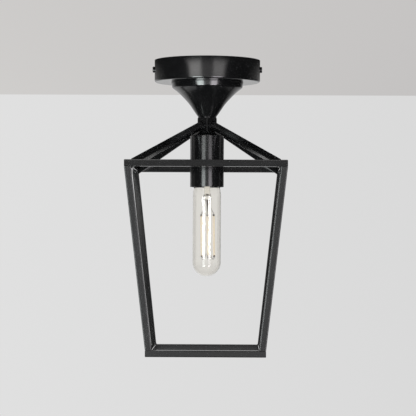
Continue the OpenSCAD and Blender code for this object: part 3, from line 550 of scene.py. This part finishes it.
def makeTrumpet():
    facts = trumpet
    low, high = boxOf("trumpet_cover")
    rimR, straight, wall, seam = facts["rimR"], facts["straight"], facts["wall"], facts["seam"]
    cut, edge = facts["corner"], facts["lipEdge"]
    bandEnd = Vector((facts["bandR"], 0, -facts["bandEnd"]))
    flare = [Vector((radius, 0, -depth)) for radius, depth in facts["flare"]]
    band = (bandEnd - Vector((rimR, 0, -straight))).normalized()
    away = (flare[0] - bandEnd).normalized()
    corner = [bandEnd - band * cut, bandEnd + (away - band) * facts["cornerPull"] * cut,
              bandEnd + away * cut]
    skin = [Vector((rimR, 0, 0)), Vector((rimR, 0, facts["rimEdge"] - straight))]
    skin += smoothRoute([Vector((rimR - facts["rimEase"], 0, -straight)), corner[0]], 3)
    skin += smoothRoute(corner, 3)[1:]
    skin += smoothRoute([corner[-1]] + flare, 6)[1:]
    backs = [point + Vector((along.z, 0, -along.x)) * wall for point, along in zip(skin, headings(skin))]
    neckR, bottom = facts["flare"][-1][0], low.z - high.z
    lipR, insideZ = neckR + facts["lip"], bottom + wall
    outline = [(point.x, point.z) for point in skin]
    outline += [(lipR, flare[-1].z - seam), (lipR, bottom + edge), (lipR - edge, bottom),
                (facts["holeR"], bottom), (facts["holeR"], insideZ), (neckR - 2 * wall, insideZ)]
    outline += [(point.x, point.z) for point in reversed(backs) if point.z > insideZ + seam]
    outline[-1] = (outline[-1][0], 0)
    shape = moveShape(lathe(outline, 128, closed=True), None, (0, 0, high.z))
    finishPiece("trumpetCover", shape, "lantern", "black_paint", ("trumpet_cover",), sharp=40)


# threaded tube through canopy, trumpet, hub, cup and lampholder

tubeThread = {"outD": 10.0, "bore": 7.4, "pitch": 1.0, "deep": 0.55, "bevel": 0.5,
              "boreBevel": 0.3, "endInset": 0.2, "rowsPerTurn": 5}


def makeThreadedTube():
    facts = tubeThread
    low, high = boxOf("threaded_tube")
    coreR, boreR, bevel = facts["outD"] / 2 - facts["deep"], facts["bore"] / 2, facts["bevel"]
    boreBevel, endR = facts["boreBevel"], coreR - facts["endInset"]
    outline = [(boreR, high.z - boreBevel), (boreR + boreBevel, high.z), (endR, high.z)]
    outline += rows(coreR, high.z - bevel, low.z + bevel, facts["pitch"] / facts["rowsPerTurn"])
    outline += [(endR, low.z), (boreR + boreBevel, low.z), (boreR, low.z + boreBevel)]
    shape = lathe(outline, 40, closed=True)
    rollThread(shape, high.z - bevel, low.z + bevel, facts["pitch"], facts["deep"], coreR - threadMargin)
    finishPiece("threadedTube", shape, "lantern", "bright_zinc", ("threaded_tube",), sharp=60)


# lamp cap and screw shell: thin sheet with a rolled round thread

rolled = {
    "pitch": 3.63, "step": 0.3, "margin": 0.05,
    "capWall": 0.4, "capDeep": 0.8, "capFlat": 3.0, "capCorner": 1, "capTop": 1.6, "capFoot": 2.4,
    "capThread": (1.8, 2.6),        # below the top, above the foot
    # out from the root, then from the rim, and above the foot
    "capSkirt": [(0.3, 1.6), (-0.1, 0.3), (0, 0)],
    "shellWall": 0.35, "shellDeep": 0.5, "shellTopFlat": 1.2, "shellFlangeR": 6.9, "shellCorner": 0.5,
    "shellFoot": 0.2,
}


def makeLampCap():
    low, high = boxOf("lamp_cap")
    outR, wall, corner = high.x, rolled["capWall"], rolled["capCorner"]
    rootR = outR - rolled["capDeep"]
    flatR, centre = rootR - rolled["capFlat"], (rootR - corner, high.z - corner)
    threadTop, threadFoot = rolled["capThread"]
    skin = [(flatR, high.z)] + arcPoints(centre, corner, 90, 0, 6)
    topCount = len(skin)
    skin += rows(rootR, high.z - rolled["capTop"], low.z + rolled["capFoot"], rolled["step"])
    for fromR, (out, above) in zip((rootR, outR, outR), rolled["capSkirt"]):
        skin.append((fromR + out, low.z + above))
    back = [(radius - wall, height) for radius, height in reversed(skin[topCount:])]
    back += arcPoints(centre, corner - wall, 0, 90, 5) + [(flatR, high.z - wall)]
    shape = lathe(skin + back, 96, closed=True)
    rollThread(shape, high.z - threadTop, low.z + threadFoot, rolled["pitch"], rolled["capDeep"],
               rootR - wall - rolled["margin"])
    finishPiece("lampCapShell", shape, "lamp", "nickel_shell", ("lamp_cap",), sharp=50)


def makeScrewShell():
    low, high = boxOf("screw_shell")
    wall = rolled["shellWall"]
    inR = high.x - wall - rolled["shellDeep"]
    topZ = high.z - rolled["shellTopFlat"]
    outR, flangeR, corner = inR + wall, rolled["shellFlangeR"], rolled["shellCorner"]
    skin = [(flangeR, high.z), (outR - corner, high.z), (outR, high.z - corner)]
    skin += rows(outR, topZ, low.z, rolled["step"])
    back = rows(inR, low.z, topZ, rolled["step"])
    back += [(inR, high.z - wall), (flangeR, high.z - wall)]
    shape = lathe(skin + back, 96, closed=True)
    rollThread(shape, topZ, low.z + rolled["shellFoot"], rolled["pitch"], rolled["shellDeep"],
               inR - rolled["margin"])
    finishPiece("rolledScrewShell", shape, "lantern", "brass", ("screw_shell",), sharp=50)


# lamp glass: it swells from the neck on two equal arcs, and closes in a round end

bulb = {
    "wall": 0.9, "neckGap": 0.1,
    "neckRows": (6, 12), "swellFrom": 17.5,     # below the top
    "swellLength": 22.0, "swellSteps": 14, "rowStep": 6.0, "endSteps": 24,
}


def makeLampGlass():
    facts = bulb
    low, high = boxOf("lamp_glass")
    fullR, neckR = high.x, boxOf("lamp_stem")[1].x + facts["neckGap"] + facts["wall"]
    domeZ, neckZ = low.z + high.x, high.z - facts["swellFrom"]
    swellEndZ = neckZ - facts["swellLength"]
    half, across = facts["swellLength"] / 2, (fullR - neckR) / 2
    swellR = (half * half + across * across) / (2 * across)
    angle = math.degrees(math.asin(half / swellR))

    def glassLine(inset):
        line = [(neckR - inset, high.z - depth) for depth in (0, *facts["neckRows"])]
        line += arcPoints((neckR + swellR, neckZ), swellR + inset, 180, 180 + angle, facts["swellSteps"])
        line += arcPoints((fullR - swellR, swellEndZ), swellR - inset, angle, 0, facts["swellSteps"])[1:]
        line += rows(fullR - inset, swellEndZ, domeZ, facts["rowStep"])[1:-1]
        return line + arcPoints((0, domeZ), fullR - inset, 0, -90, facts["endSteps"])

    shape = lathe(glassLine(0) + glassLine(facts["wall"])[::-1], 160)
    edge = [part for part in shape.edges if part.is_boundary]
    bmesh.ops.bridge_loops(shape, edges=edge)
    finishPiece("lampBulbGlass", shape, "lamp", "clear_glass", ("lamp_glass",), sharp=40)


# inside the lamp: flared stem with a flattened pinch, rod, wires and four filament rods

lampInside = {
    "stemR": 3.4, "stemBoreR": 2.6, "boreNeck": 7.0, "boreFlare": 1.4, "boreFoot": 0.8,
    "footShare": 0.7, "footH": 0.8, "rowStep": 1.2,
    "pinchH": 6.0, "pinchDrop": 28.2, "pinchWide": 1.35, "pinchThin": 0.42,
    "pinchFrom": 3, "pinchFade": 5,
    "flareWall": 1.0, "flareRise": 6.0, "flareDrop": 8.0, "flareR": 6.0, "flareTurn": (180, 118),
    "flareLift": 2, "flareLip": 0.3,
    "rodR": 1.2, "rodButton": 1.55, "rodInPinch": 1.2, "buttonShare": 0.6, "buttonZ": (0.5, 2.2, 3.0),
    "filamentR": 1.0, "coatInset": 0.4, "capR": 1.1, "capH": 2.4, "capBevel": 0.2,
    "ringR": 7.0, "wireR": 0.24,
    # bends of the wires: out from the rod's middle in rod radii, and above the pinch
    "pinchBends": [(1.8, 1.0), (2.2, -1.2)],
    # out from the ring, and above the coating's top or foot
    "topBends": [(-1.6, 3.6), (-0.1, 1.8), (0, -0.4)],
    "footBends": [(-1.8, -1.9), (-0.3, -1.5), (0, 0.4)],
    # out from the rod's side, and above its foot
    "rodBends": [(0.1, 1.5), (1.4, 1.1)],
    "lean": 0.9,
}


def lean(shape, pivotZ):
    # the mount stands a little out of true, as in the photographed lamp
    bmesh.ops.rotate(shape, verts=shape.verts, cent=(0, 0, pivotZ),
                     matrix=Matrix.Rotation(-math.radians(lampInside["lean"]), 3, "Y"))


def makeLampStem():
    facts = lampInside
    low, high = boxOf("lamp_stem")
    neckZ = high.z - facts["flareRise"]
    flare = high.x
    pinchZ = neckZ - facts["pinchDrop"]
    pinchTop = pinchZ + facts["pinchH"]
    stemR, boreR, lip = facts["stemR"], facts["stemBoreR"], facts["flareLip"]
    flareFoot = neckZ - facts["flareDrop"]
    outer = [(0, pinchZ), (stemR * facts["footShare"], pinchZ), (stemR, pinchZ + facts["footH"]),
             (stemR, flareFoot)]
    outer += arcPoints((stemR + facts["flareR"], flareFoot + facts["flareLift"]), facts["flareR"],
                       *facts["flareTurn"], 8)
    outer += [(flare, high.z - lip), (flare - lip, high.z)]
    inner = [(flare - facts["flareWall"], high.z), (stemR + facts["boreFlare"], neckZ),
             (boreR, neckZ - facts["boreNeck"]), (boreR, pinchTop), (0, pinchTop - facts["boreFoot"])]
    fine = []
    for start, end in zip(outer, outer[1:]):
        count = max(1, int(abs(end[1] - start[1]) / facts["rowStep"]))
        fine += [(start[0] + (end[0] - start[0]) * i / count, start[1] + (end[1] - start[1]) * i / count)
                 for i in range(count)]
    shape = lathe(fine + [outer[-1]] + inner, 48)
    for vert in shape.verts:
        squeeze = min(1, max(0, (pinchTop + facts["pinchFrom"] - vert.co.z) / facts["pinchFade"]))
        squeeze = squeeze * squeeze * (3 - 2 * squeeze)
        vert.co.x *= 1 + (facts["pinchWide"] - 1) * squeeze
        vert.co.y *= 1 + (facts["pinchThin"] - 1) * squeeze
    button, rodR, rodTop = facts["rodButton"], facts["rodR"], pinchZ + facts["rodInPinch"]
    lowEdge, highEdge, rodFoot = (low.z + above for above in facts["buttonZ"])
    rodShape = lathe([(0, low.z), (button * facts["buttonShare"], low.z), (button, lowEdge),
                      (button, highEdge), (rodR, rodFoot), (rodR, rodTop), (0, rodTop)], 32)
    for part in (shape, rodShape):
        lean(part, high.z)
    finishPiece("lampStemGlass", shape, "lamp", "clear_glass", ("lamp_stem",),
                finishes["stem_glass"], 45)
    finishPiece("lampRodGlass", rodShape, "lamp", "clear_glass", (), finishes["rod_glass"], 45)
    return pinchZ


def makeFilaments(pinchZ):
    facts = lampInside
    low, high = boxOf("lamp_filaments")
    rodLow = boxOf("lamp_stem")[0].z
    coated, caps, wires = bmesh.new(), bmesh.new(), bmesh.new()
    radius, capR, bevel = facts["filamentR"], facts["capR"], facts["capBevel"]
    ringR, rodR = facts["ringR"], facts["rodR"]
    coatFoot, coatTop = low.z + facts["coatInset"], high.z - facts["coatInset"]
    for quarter in range(4):
        turn = Matrix.Rotation(quarter * math.pi / 2, 3, "Z")
        centre = turn @ Vector((ringR, 0, 0))
        one = lathe([(0, coatFoot), (radius, coatFoot), (radius, coatTop), (0, coatTop)], 20)
        joinShape(coated, moveShape(one, None, centre))
        for fromZ, toZ in ((low.z, low.z + facts["capH"]), (high.z - facts["capH"], high.z)):
            cap = lathe([(0, fromZ), (capR - bevel, fromZ), (capR, fromZ + bevel), (capR, toZ - bevel),
                         (capR - bevel, toZ), (0, toZ)], 20)
            joinShape(caps, moveShape(cap, None, centre))
        upper = [(out * rodR, 0, pinchZ + above) for out, above in facts["pinchBends"]]
        upper += [(ringR + out, 0, high.z + above) for out, above in facts["topBends"]]
        lower = [(rodR + out, 0, rodLow + above) for out, above in facts["rodBends"]]
        lower += [(ringR + out, 0, low.z + above) for out, above in facts["footBends"]]
        for points in (upper, lower):
            sweep(smoothRoute([turn @ Vector(point) for point in points], 5), facts["wireR"], 8, wires)
    for shape in (coated, caps, wires):
        lean(shape, boxOf("lamp_stem")[1].z)
    finishPiece("filamentRods", coated, "lamp", "filament", ("lamp_filaments",))
    finishPiece("filamentEndCaps", caps, "lamp", "support_wire")
    finishPiece("lampWires", wires, "lamp", "support_wire", ("lamp_support_wires",), sharp=60)


def joinShape(target, source):
    # adds one shape to another and frees it
    spare = bpy.data.meshes.new("spare")
    source.to_mesh(spare)
    source.free()
    target.from_mesh(spare)
    bpy.data.meshes.remove(spare)


# leads, along the routes that the solids have

leads = {
    "coverD": 2.0, "coreD": 1.1, "steps": 8,
    "stripeToward": (0.5, 0.4, 0.77), "stripeFrom": 0.35,       # the side of the cover that is yellow
    "plateGap": 0.05, "coreY": 2.35,
    "reach": (7, 3),            # how far past the block, and half the difference between the two
    "tagTurn": 215, "tagReach": 16.0, "strapSheet": 2.0, "strapGap": 0.1,
}


def makeLead(name, node, slotName, coreFrom, middle, coreTo, stripe=None):
    covered = smoothRoute(middle, leads["steps"])
    cover = sweep(covered, leads["coverD"] / 2, 16)
    if stripe:
        for face in cover.faces:
            centre = face.calc_center_median()
            nearest = min(covered, key=lambda point: (point - centre).length)
            toSide = (centre - nearest).dot(Vector(leads["stripeToward"]))
            face.material_index = 1 if toSide > leads["stripeFrom"] else 0
    coverPiece = finishPiece(name + "Cover", cover, "lantern", slotName, (node,), sharp=60)
    if stripe:
        coverPiece.data.materials.append(stripe)
    cores = sweep([Vector(coreFrom), covered[0], covered[1]], leads["coreD"] / 2, 12)
    ends = covered[-2:] + [Vector(point) for point in coreTo]
    sweep(ends, leads["coreD"] / 2, 12, cores)
    finishPiece(name + "Core", cores, "lantern", "brass", sharp=60)


def makeLeads():
    # the plain numbers in the routes keep each lead clear of what it passes
    block = boxOf("terminal_block")
    tube = boxOf("threaded_tube")
    terminals = boxOf("holder_terminals")
    blockX, blockHalf = (block[0].x + block[1].x) / 2, (block[1].y - block[0].y) / 2
    poleX = (block[1].x - block[0].x) / 4
    clamps = boxOf("terminal_clamps")
    clampZ, clampY = (clamps[0].z + clamps[1].z) / 2, (clamps[1].y - clamps[0].y) / 4
    top, bottom, plateTop = tube[1].z, tube[0].z, terminals[1].z
    coreR, coverR = leads["coreD"] / 2, leads["coverD"] / 2
    for side, name, node, slotName in ((1, "live", "live_lead", "brown_cover"),
                                       (-1, "neutral", "neutral_lead", "blue_cover")):
        pole = blockX - side * poleX
        inside = side * tubeThread["bore"] / 4
        reach = leads["reach"][0] - leads["reach"][1] * side
        coreZ, coreY = plateTop + coreR + leads["plateGap"], leads["coreY"]
        makeLead(name, node, slotName, (pole, -clampY + 2, clampZ), [
            (pole, -blockHalf - 0.5, clampZ), (pole - 0.5, -blockHalf - reach / 2, clampZ),
            (pole - 5, -blockHalf - reach, clampZ - 1),
            (4 + side * 3, -blockHalf - reach + 1, clampZ - 1),
            (inside, -6, clampZ + 0.5), (inside, -1.5, clampZ - 2),
            (inside, 0, top - 4), (inside, 0, top - 20), (inside, 0, (top + bottom) / 2),
            (inside, 0, bottom + 8), (inside, 0, bottom + 1),
            (side * 3, 0.8, bottom - 2), (side * 5.6, 2, plateTop + coverR + 0.2)],
            [(side * 8.2, coreY, coreZ), (side * 12.8, coreY, coreZ)])
    screw = boxOf("earth_screw")
    screwX = (screw[0].x + screw[1].x) / 2
    angle, tagReach = math.radians(leads["tagTurn"]), leads["tagReach"]
    out = Vector((math.cos(angle), math.sin(angle), 0))
    tagTop = boxOf("canopy_nut")[0].z
    crimpZ = tagTop + coreR
    strapZ = boxOf("ceiling_bracket")[1].z - leads["strapSheet"]
    coreZ = strapZ - coreR - leads["strapGap"]
    makeLead("earth", "earth_lead", "green_yellow_cover", (tagReach - 4) * out + up * crimpZ, [
        (tagReach + 1) * out + up * crimpZ,
        (tagReach + 5) * out + up * (crimpZ + 0.8),
        (screwX - 7, -14, -14),
        (screwX - 8, -9, -7),
        (screwX - 6, -4, strapZ - coverR - 0.3)],
        [(screwX - 4, -2.65, coreZ), (screwX + 2, -2.65, coreZ)],
        finishes["yellow_stripe"])


# weld beads of the cage

cage = {
    "tubeW": 7.5, "topW": 179.0, "bottomW": 133.5, "hubW": 16.0, "armDrop": 0.7, "armSlope": 23.65,
    "beadR": 0.55, "beadSides": 10, "ripple": 1.3, "rippleDeep": 0.16, "rowsPerRipple": 6,
    "taper": 0.35, "least": 0.25,       # how soon a bead reaches its full size, and its size at the ends
    "legInset": 0.1, "legShort": 1.2, "armShort": (0.5, 0.45),
}


def bead(shape, start, end, radius):
    length = (end - start).length
    count = max(6, int(length / cage["ripple"] * cage["rowsPerRipple"]))
    points, radii = [], []
    for index in range(count + 1):
        share = index / count
        taper = math.sin(math.pi * share) ** cage["taper"] if 0 < share < 1 else cage["least"]
        wave = 1 + cage["rippleDeep"] * math.sin(2 * math.pi * share * length / cage["ripple"])
        points.append(start.lerp(end, share))
        radii.append(radius * max(taper, cage["least"]) * wave)
    sweep(points, radii, cage["beadSides"], shape)


def makeWelds():
    tube = cage["tubeW"]
    topBar, bottomBar = boxOf("top_bar_front"), boxOf("bottom_bar_front")
    hub = boxOf("frame_hub")
    legTop, legBottom = topBar[0].z, bottomBar[1].z
    shape = bmesh.new()
    halfDiagonal = tube / math.sqrt(2)
    armZ = (hub[0].z + hub[1].z) / 2 - cage["armDrop"]
    for quarter in range(4):
        turn = Matrix.Rotation(quarter * math.pi / 2, 3, "Z")
        # where a leg meets the bars, along its two inner sides
        for width, height in ((cage["topW"], legTop - cage["legInset"]),
                              (cage["bottomW"], legBottom + cage["legInset"])):
            inner = width / 2 - tube
            farX = -inner - tube + cage["legShort"]
            corner = Vector((-inner, -inner, height))
            for far in (Vector((farX, -inner, height)), Vector((-inner, farX, height))):
                bead(shape, turn @ corner, turn @ far, cage["beadR"])
        # where an arm butts on the hub, round its four sides
        outward = turn @ Vector((-1, -1, 0)).normalized()
        across = outward.cross(up)
        face = outward * (cage["hubW"] / 2)
        tall = halfDiagonal / math.cos(math.radians(cage["armSlope"])) - cage["armShort"][0]
        wide = halfDiagonal - cage["armShort"][1]
        tips = [face + up * (armZ + tall), face + across * wide + up * armZ,
                face + up * (armZ - tall), face - across * wide + up * armZ]
        for start, end in zip(tips, tips[1:] + tips[:1]):
            bead(shape, start, end, cage["beadR"])
    finishPiece("weldBeads", shape, "lantern", "black_paint", sharp=60)


makeSideScrew("left", -1)
makeSideScrew("right", 1)
makeTrumpet()
makeThreadedTube()
makeLampCap()
makeScrewShell()
makeLampGlass()
pinchHeight = makeLampStem()
makeFilaments(pinchHeight)
makeLeads()
makeWelds()


# stage, light and view

room = {
    "wallY": 0.495,
    "wallGlossLeft": (-0.9, -0.3, 0.06, 1.0),       # from x to x, and from level to level
    "wallGlossRight": (0.12, 0.5, 1.0, 0.02),
    "ceilingZ": 0.0002,
    "ceilingGloss": 0.05,       # over the lantern and in front of it
    "ceilingReach": 1.6,        # times half
    "floorZ": -2.3,
    "half": 2.6,                # half the width of the wall and ceiling
    "holeRadius": 58.5 * mm,    # the ceiling is open over the canopy, for light from above
    # the wall and ceiling colours go from lighter on the left to darker on the right: painted shade of
    # the room's light
    "wallLeft": (0.745, 0.745, 0.745, 1), "wallRight": (0.7, 0.7, 0.7, 1),
    "ceilingLeft": (0.624, 0.612, 0.6, 1), "ceilingRight": (0.552, 0.54, 0.535, 1),
    "floor": (0.7, 0.7, 0.69, 1), "floorGloss": 0.04, "floorPlain": 0.85,
    "paintedShadeHalf": 0.29,          # the shade runs over this far each side of the axis
}


# two tall soft panels in front, to the left and right of the camera, in parts that brighten downwards
panels = {
    "left": {"from": -33.0, "to": -11.5, "colour": (0.93, 1.0, 0.99), "share": 0.93},
    "right": {"from": 12.5, "to": 33.0, "colour": (1.0, 0.95, 1.0), "share": 0.63},
}
panelStand = {
    "distance": 1.9, "softEdge": 3.0,
    # the panels' glow in the ceiling's gloss: it starts, is full, fades from and ends at these distances
    "overCeiling": 4.2, "glowAt": (0.09, 0.16, 0.26, 0.42), "farGlow": 0.3,
}
between = {"ceiling": 0.7, "front": 0.5}        # what gloss sees between the two panels
# top and bottom of each part, and its radiance
panelParts = [(0.0, -0.1, 0.9), (-0.1, -1.0, 7.8), (-1.0, -1.7, 12.0)]
# the clear lamp mirrors two brighter, shorter windows of its own
lampWindows = {"left": (-36.0, -14.5), "right": (12.5, 34.0), "top": -0.09, "bottom": -0.265,
               "radiance": 14.0, "colour": (1.0, 1.0, 1.0)}


def glossOfWall(tree, parts, place):
    # bright behind the lantern, dimmer away from it, and soonest to the right
    toLeft = remap(tree, parts["X"], *room["wallGlossLeft"])
    toRight = remap(tree, parts["X"], *room["wallGlossRight"])
    return mathOf(tree, "MINIMUM", toLeft, toRight)


def glossOfCeiling(tree, parts, place):
    # dim in front, with the two lights' glow running in over it to the canopy
    strength = remap(tree, parts["Y"], room["wallY"], 0.0, 1.0, room["ceilingGloss"])
    turn = mathOf(tree, "ARCTAN2", parts["X"], times(tree, parts["Y"], -1.0))
    distance = put(tree, "VectorMath", {0: place}, operation="LENGTH").outputs["Value"]
    start, full, fade, end = panelStand["glowAt"]
    bands = [(facts["from"], facts["to"], panelStand["overCeiling"] * facts["share"])
             for facts in panels.values()]
    bands.append((panels["left"]["to"], panels["right"]["from"], between["ceiling"]))
    soft = math.radians(panelStand["softEdge"])
    for low, high, level in bands:
        low, high = math.radians(low), math.radians(high)
        rise = remap(tree, turn, low - soft, low + soft, 0.0, level)
        fall = remap(tree, turn, high - soft, high + soft, level, 0.0)
        near = mathOf(tree, "MINIMUM", remap(tree, distance, start, full, 0.0, level),
                      remap(tree, distance, fade, end, level, panelStand["farGlow"] * level))
        glow = mathOf(tree, "MINIMUM", mathOf(tree, "MINIMUM", rise, fall), near)
        strength = plus(tree, strength, glow)
    return strength


def makeRoomFinish(name, left, right, glossOf, plainShare=1.0):
    # plain to the camera and through glass; with plainShare below 1 the camera sees shadows too;
    # in gloss it dims away from the lights, as a room does; matt for all other light
    material = bpy.data.materials.new(name)
    material.use_nodes = True
    tree = material.node_tree
    tree.nodes.clear()
    place = tree.nodes.new("ShaderNodeTexCoord").outputs["Object"]
    parts = put(tree, "SeparateXYZ", {"Vector": place}).outputs
    # painted shade: the colour runs from left to right across the lantern, darker to the right on the
    # wall and ceiling
    shade = remap(tree, parts["X"], -room["paintedShadeHalf"], room["paintedShadeHalf"], 0.0, 1.0)
    colour = mixColour(tree, shade, left, right)
    path = tree.nodes.new("ShaderNodeLightPath").outputs
    gloss = glossOf(tree, parts, place) if callable(glossOf) else glossOf
    strength = remap(tree, path["Is Glossy Ray"], 0.0, 1.0, 1.0, gloss)
    plain = mathOf(tree, "MAXIMUM", path["Is Glossy Ray"], path["Is Transmission Ray"])
    plain = mathOf(tree, "MAXIMUM", plain, times(tree, path["Is Camera Ray"], plainShare))
    glow = put(tree, "Emission", {"Color": colour, "Strength": strength})
    matt = put(tree, "BsdfDiffuse", {"Color": colour})
    front = put(tree, "MixShader", {0: plain, 1: matt.outputs[0], 2: glow.outputs[0]})
    clear = put(tree, "BsdfTransparent")
    behind = tree.nodes.new("ShaderNodeNewGeometry").outputs["Backfacing"]
    whole = put(tree, "MixShader", {0: behind, 1: front.outputs[0], 2: clear.outputs[0]})
    tree.links.new(whole.outputs[0], put(tree, "OutputMaterial").inputs["Surface"])
    return material


def flatSquare(half, turn, move):
    shape = bmesh.new()
    bmesh.ops.create_grid(shape, x_segments=1, y_segments=1, size=half)
    return moveShape(shape, turn, move)


def addStage():
    half = room["half"]
    upright = Matrix.Rotation(math.pi / 2, 3, "X")
    wall = meshObject("wall", flatSquare(half, upright, (0, room["wallY"], 0)),
                      makeRoomFinish("painted wall", room["wallLeft"], room["wallRight"], glossOfWall))

    ceilingShape = bmesh.new()
    bmesh.ops.create_circle(ceilingShape, segments=64, radius=room["holeRadius"])
    outer = bmesh.ops.extrude_edge_only(ceilingShape, edges=ceilingShape.edges[:])["geom"]
    grow = room["ceilingReach"] * half / room["holeRadius"]
    bmesh.ops.scale(ceilingShape, verts=vertsIn(outer), vec=(grow, grow, 1))
    for vert in ceilingShape.verts:
        vert.co.y = min(vert.co.y, room["wallY"])
    bmesh.ops.translate(ceilingShape, verts=ceilingShape.verts, vec=(0, 0, room["ceilingZ"]))
    for face in ceilingShape.faces:
        face.normal_update()
        if face.normal.z > 0:
            face.normal_flip()
    ceiling = meshObject("ceiling", ceilingShape,
                         makeRoomFinish("painted ceiling", room["ceilingLeft"], room["ceilingRight"],
                                        glossOfCeiling))

    floor = meshObject("floor", flatSquare(2 * half, None, (0, 0, room["floorZ"])),
                       makeRoomFinish("pale floor", room["floor"], room["floor"], room["floorGloss"],
                                      room["floorPlain"]))


def addPanel(name, facts, top, bottom, radiance):
    middle = math.radians((facts["from"] + facts["to"]) / 2)
    reach = panelStand["distance"]
    light = bpy.data.lights.new("panel " + name, "AREA")
    light.shape = "RECTANGLE"
    light.size = 2 * reach * math.tan(math.radians(facts["to"] - facts["from"]) / 2)
    light.size_y = top - bottom
    light.energy = radiance * math.pi * light.size * light.size_y
    light.color = facts["colour"]
    stand = Vector((reach * math.sin(middle), -reach * math.cos(middle), (top + bottom) / 2))
    lamp = bpy.data.objects.new("panel " + name, light)
    inward = Vector((-stand.x, -stand.y, 0)).normalized()
    across = inward.cross(up)
    lamp.matrix_world = Matrix.Translation(stand) @ Matrix((across, up, -inward)).transposed().to_4x4()
    lamp.visible_camera = False
    lamp.visible_transmission = False
    scene.collection.objects.link(lamp)
    return lamp


def addLampWindows():
    # light linking keeps them to the lamp's glass
    facing = bpy.data.collections.new("lamp glass only")
    facing.objects.link(bpy.data.objects["lampBulbGlass"])
    for side in ("left", "right"):
        start, end = lampWindows[side]
        window = addPanel("window " + side, {"from": start, "to": end, "colour": lampWindows["colour"]},
                          lampWindows["top"], lampWindows["bottom"], lampWindows["radiance"])
        window.visible_diffuse = False
        window.light_linking.receiver_collection = facing


skyLight = {
    "seen": (0.72, 0.72, 0.72, 1),      # what the camera and clear glass see past the wall
    "soft": (0.3, 0.3, 0.3, 1),         # light on matt surfaces
    "dark": 0.015, "pale": 0.6,         # what gloss sees, at the sides and in front, and behind or above
    "behind": (0.5, 0.9), "above": (0.1, 0.5),      # where dark turns to pale
}


def addWorld():
    world = bpy.data.worlds.new("studio")
    scene.world = world
    world.use_nodes = True
    tree = world.node_tree
    tree.nodes.clear()
    toward = tree.nodes.new("ShaderNodeTexCoord").outputs["Generated"]
    parts = put(tree, "SeparateXYZ", {"Vector": toward}).outputs
    pale = mathOf(tree, "MAXIMUM", remap(tree, parts["Y"], *skyLight["behind"], 0.0, 1.0),
                  remap(tree, parts["Z"], *skyLight["above"], 0.0, 1.0))
    level = remap(tree, pale, 0.0, 1.0, skyLight["dark"], skyLight["pale"])
    turn = mathOf(tree, "ARCTAN2", parts["X"], times(tree, parts["Y"], -1.0))
    turn = mathOf(tree, "ABSOLUTE", turn)
    soft = math.radians(panelStand["softEdge"])
    edge = math.radians(panels["right"]["from"])
    front = remap(tree, turn, edge - soft, edge + soft, between["front"], 0.0)
    level = mathOf(tree, "MAXIMUM", level, front)
    gloss = put(tree, "CombineColor", {"Red": level, "Green": level, "Blue": level}).outputs[0]
    path = tree.nodes.new("ShaderNodeLightPath").outputs
    isSeen = mathOf(tree, "MAXIMUM", path["Is Camera Ray"], path["Is Transmission Ray"])
    colour = mixColour(tree, path["Is Glossy Ray"], skyLight["soft"], gloss)
    colour = mixColour(tree, isSeen, colour, skyLight["seen"])
    back = put(tree, "Background", {"Color": colour, "Strength": 1.0})
    tree.links.new(back.outputs[0], put(tree, "OutputWorld").inputs["Surface"])


addCamera()
addStage()
for panelName, panelFacts in panels.items():
    for partTop, partBottom, radiance in panelParts:
        addPanel(panelName, panelFacts, partTop, partBottom, radiance * panelFacts["share"])
addLampWindows()
addWorld()
print("stage, light and camera placed")
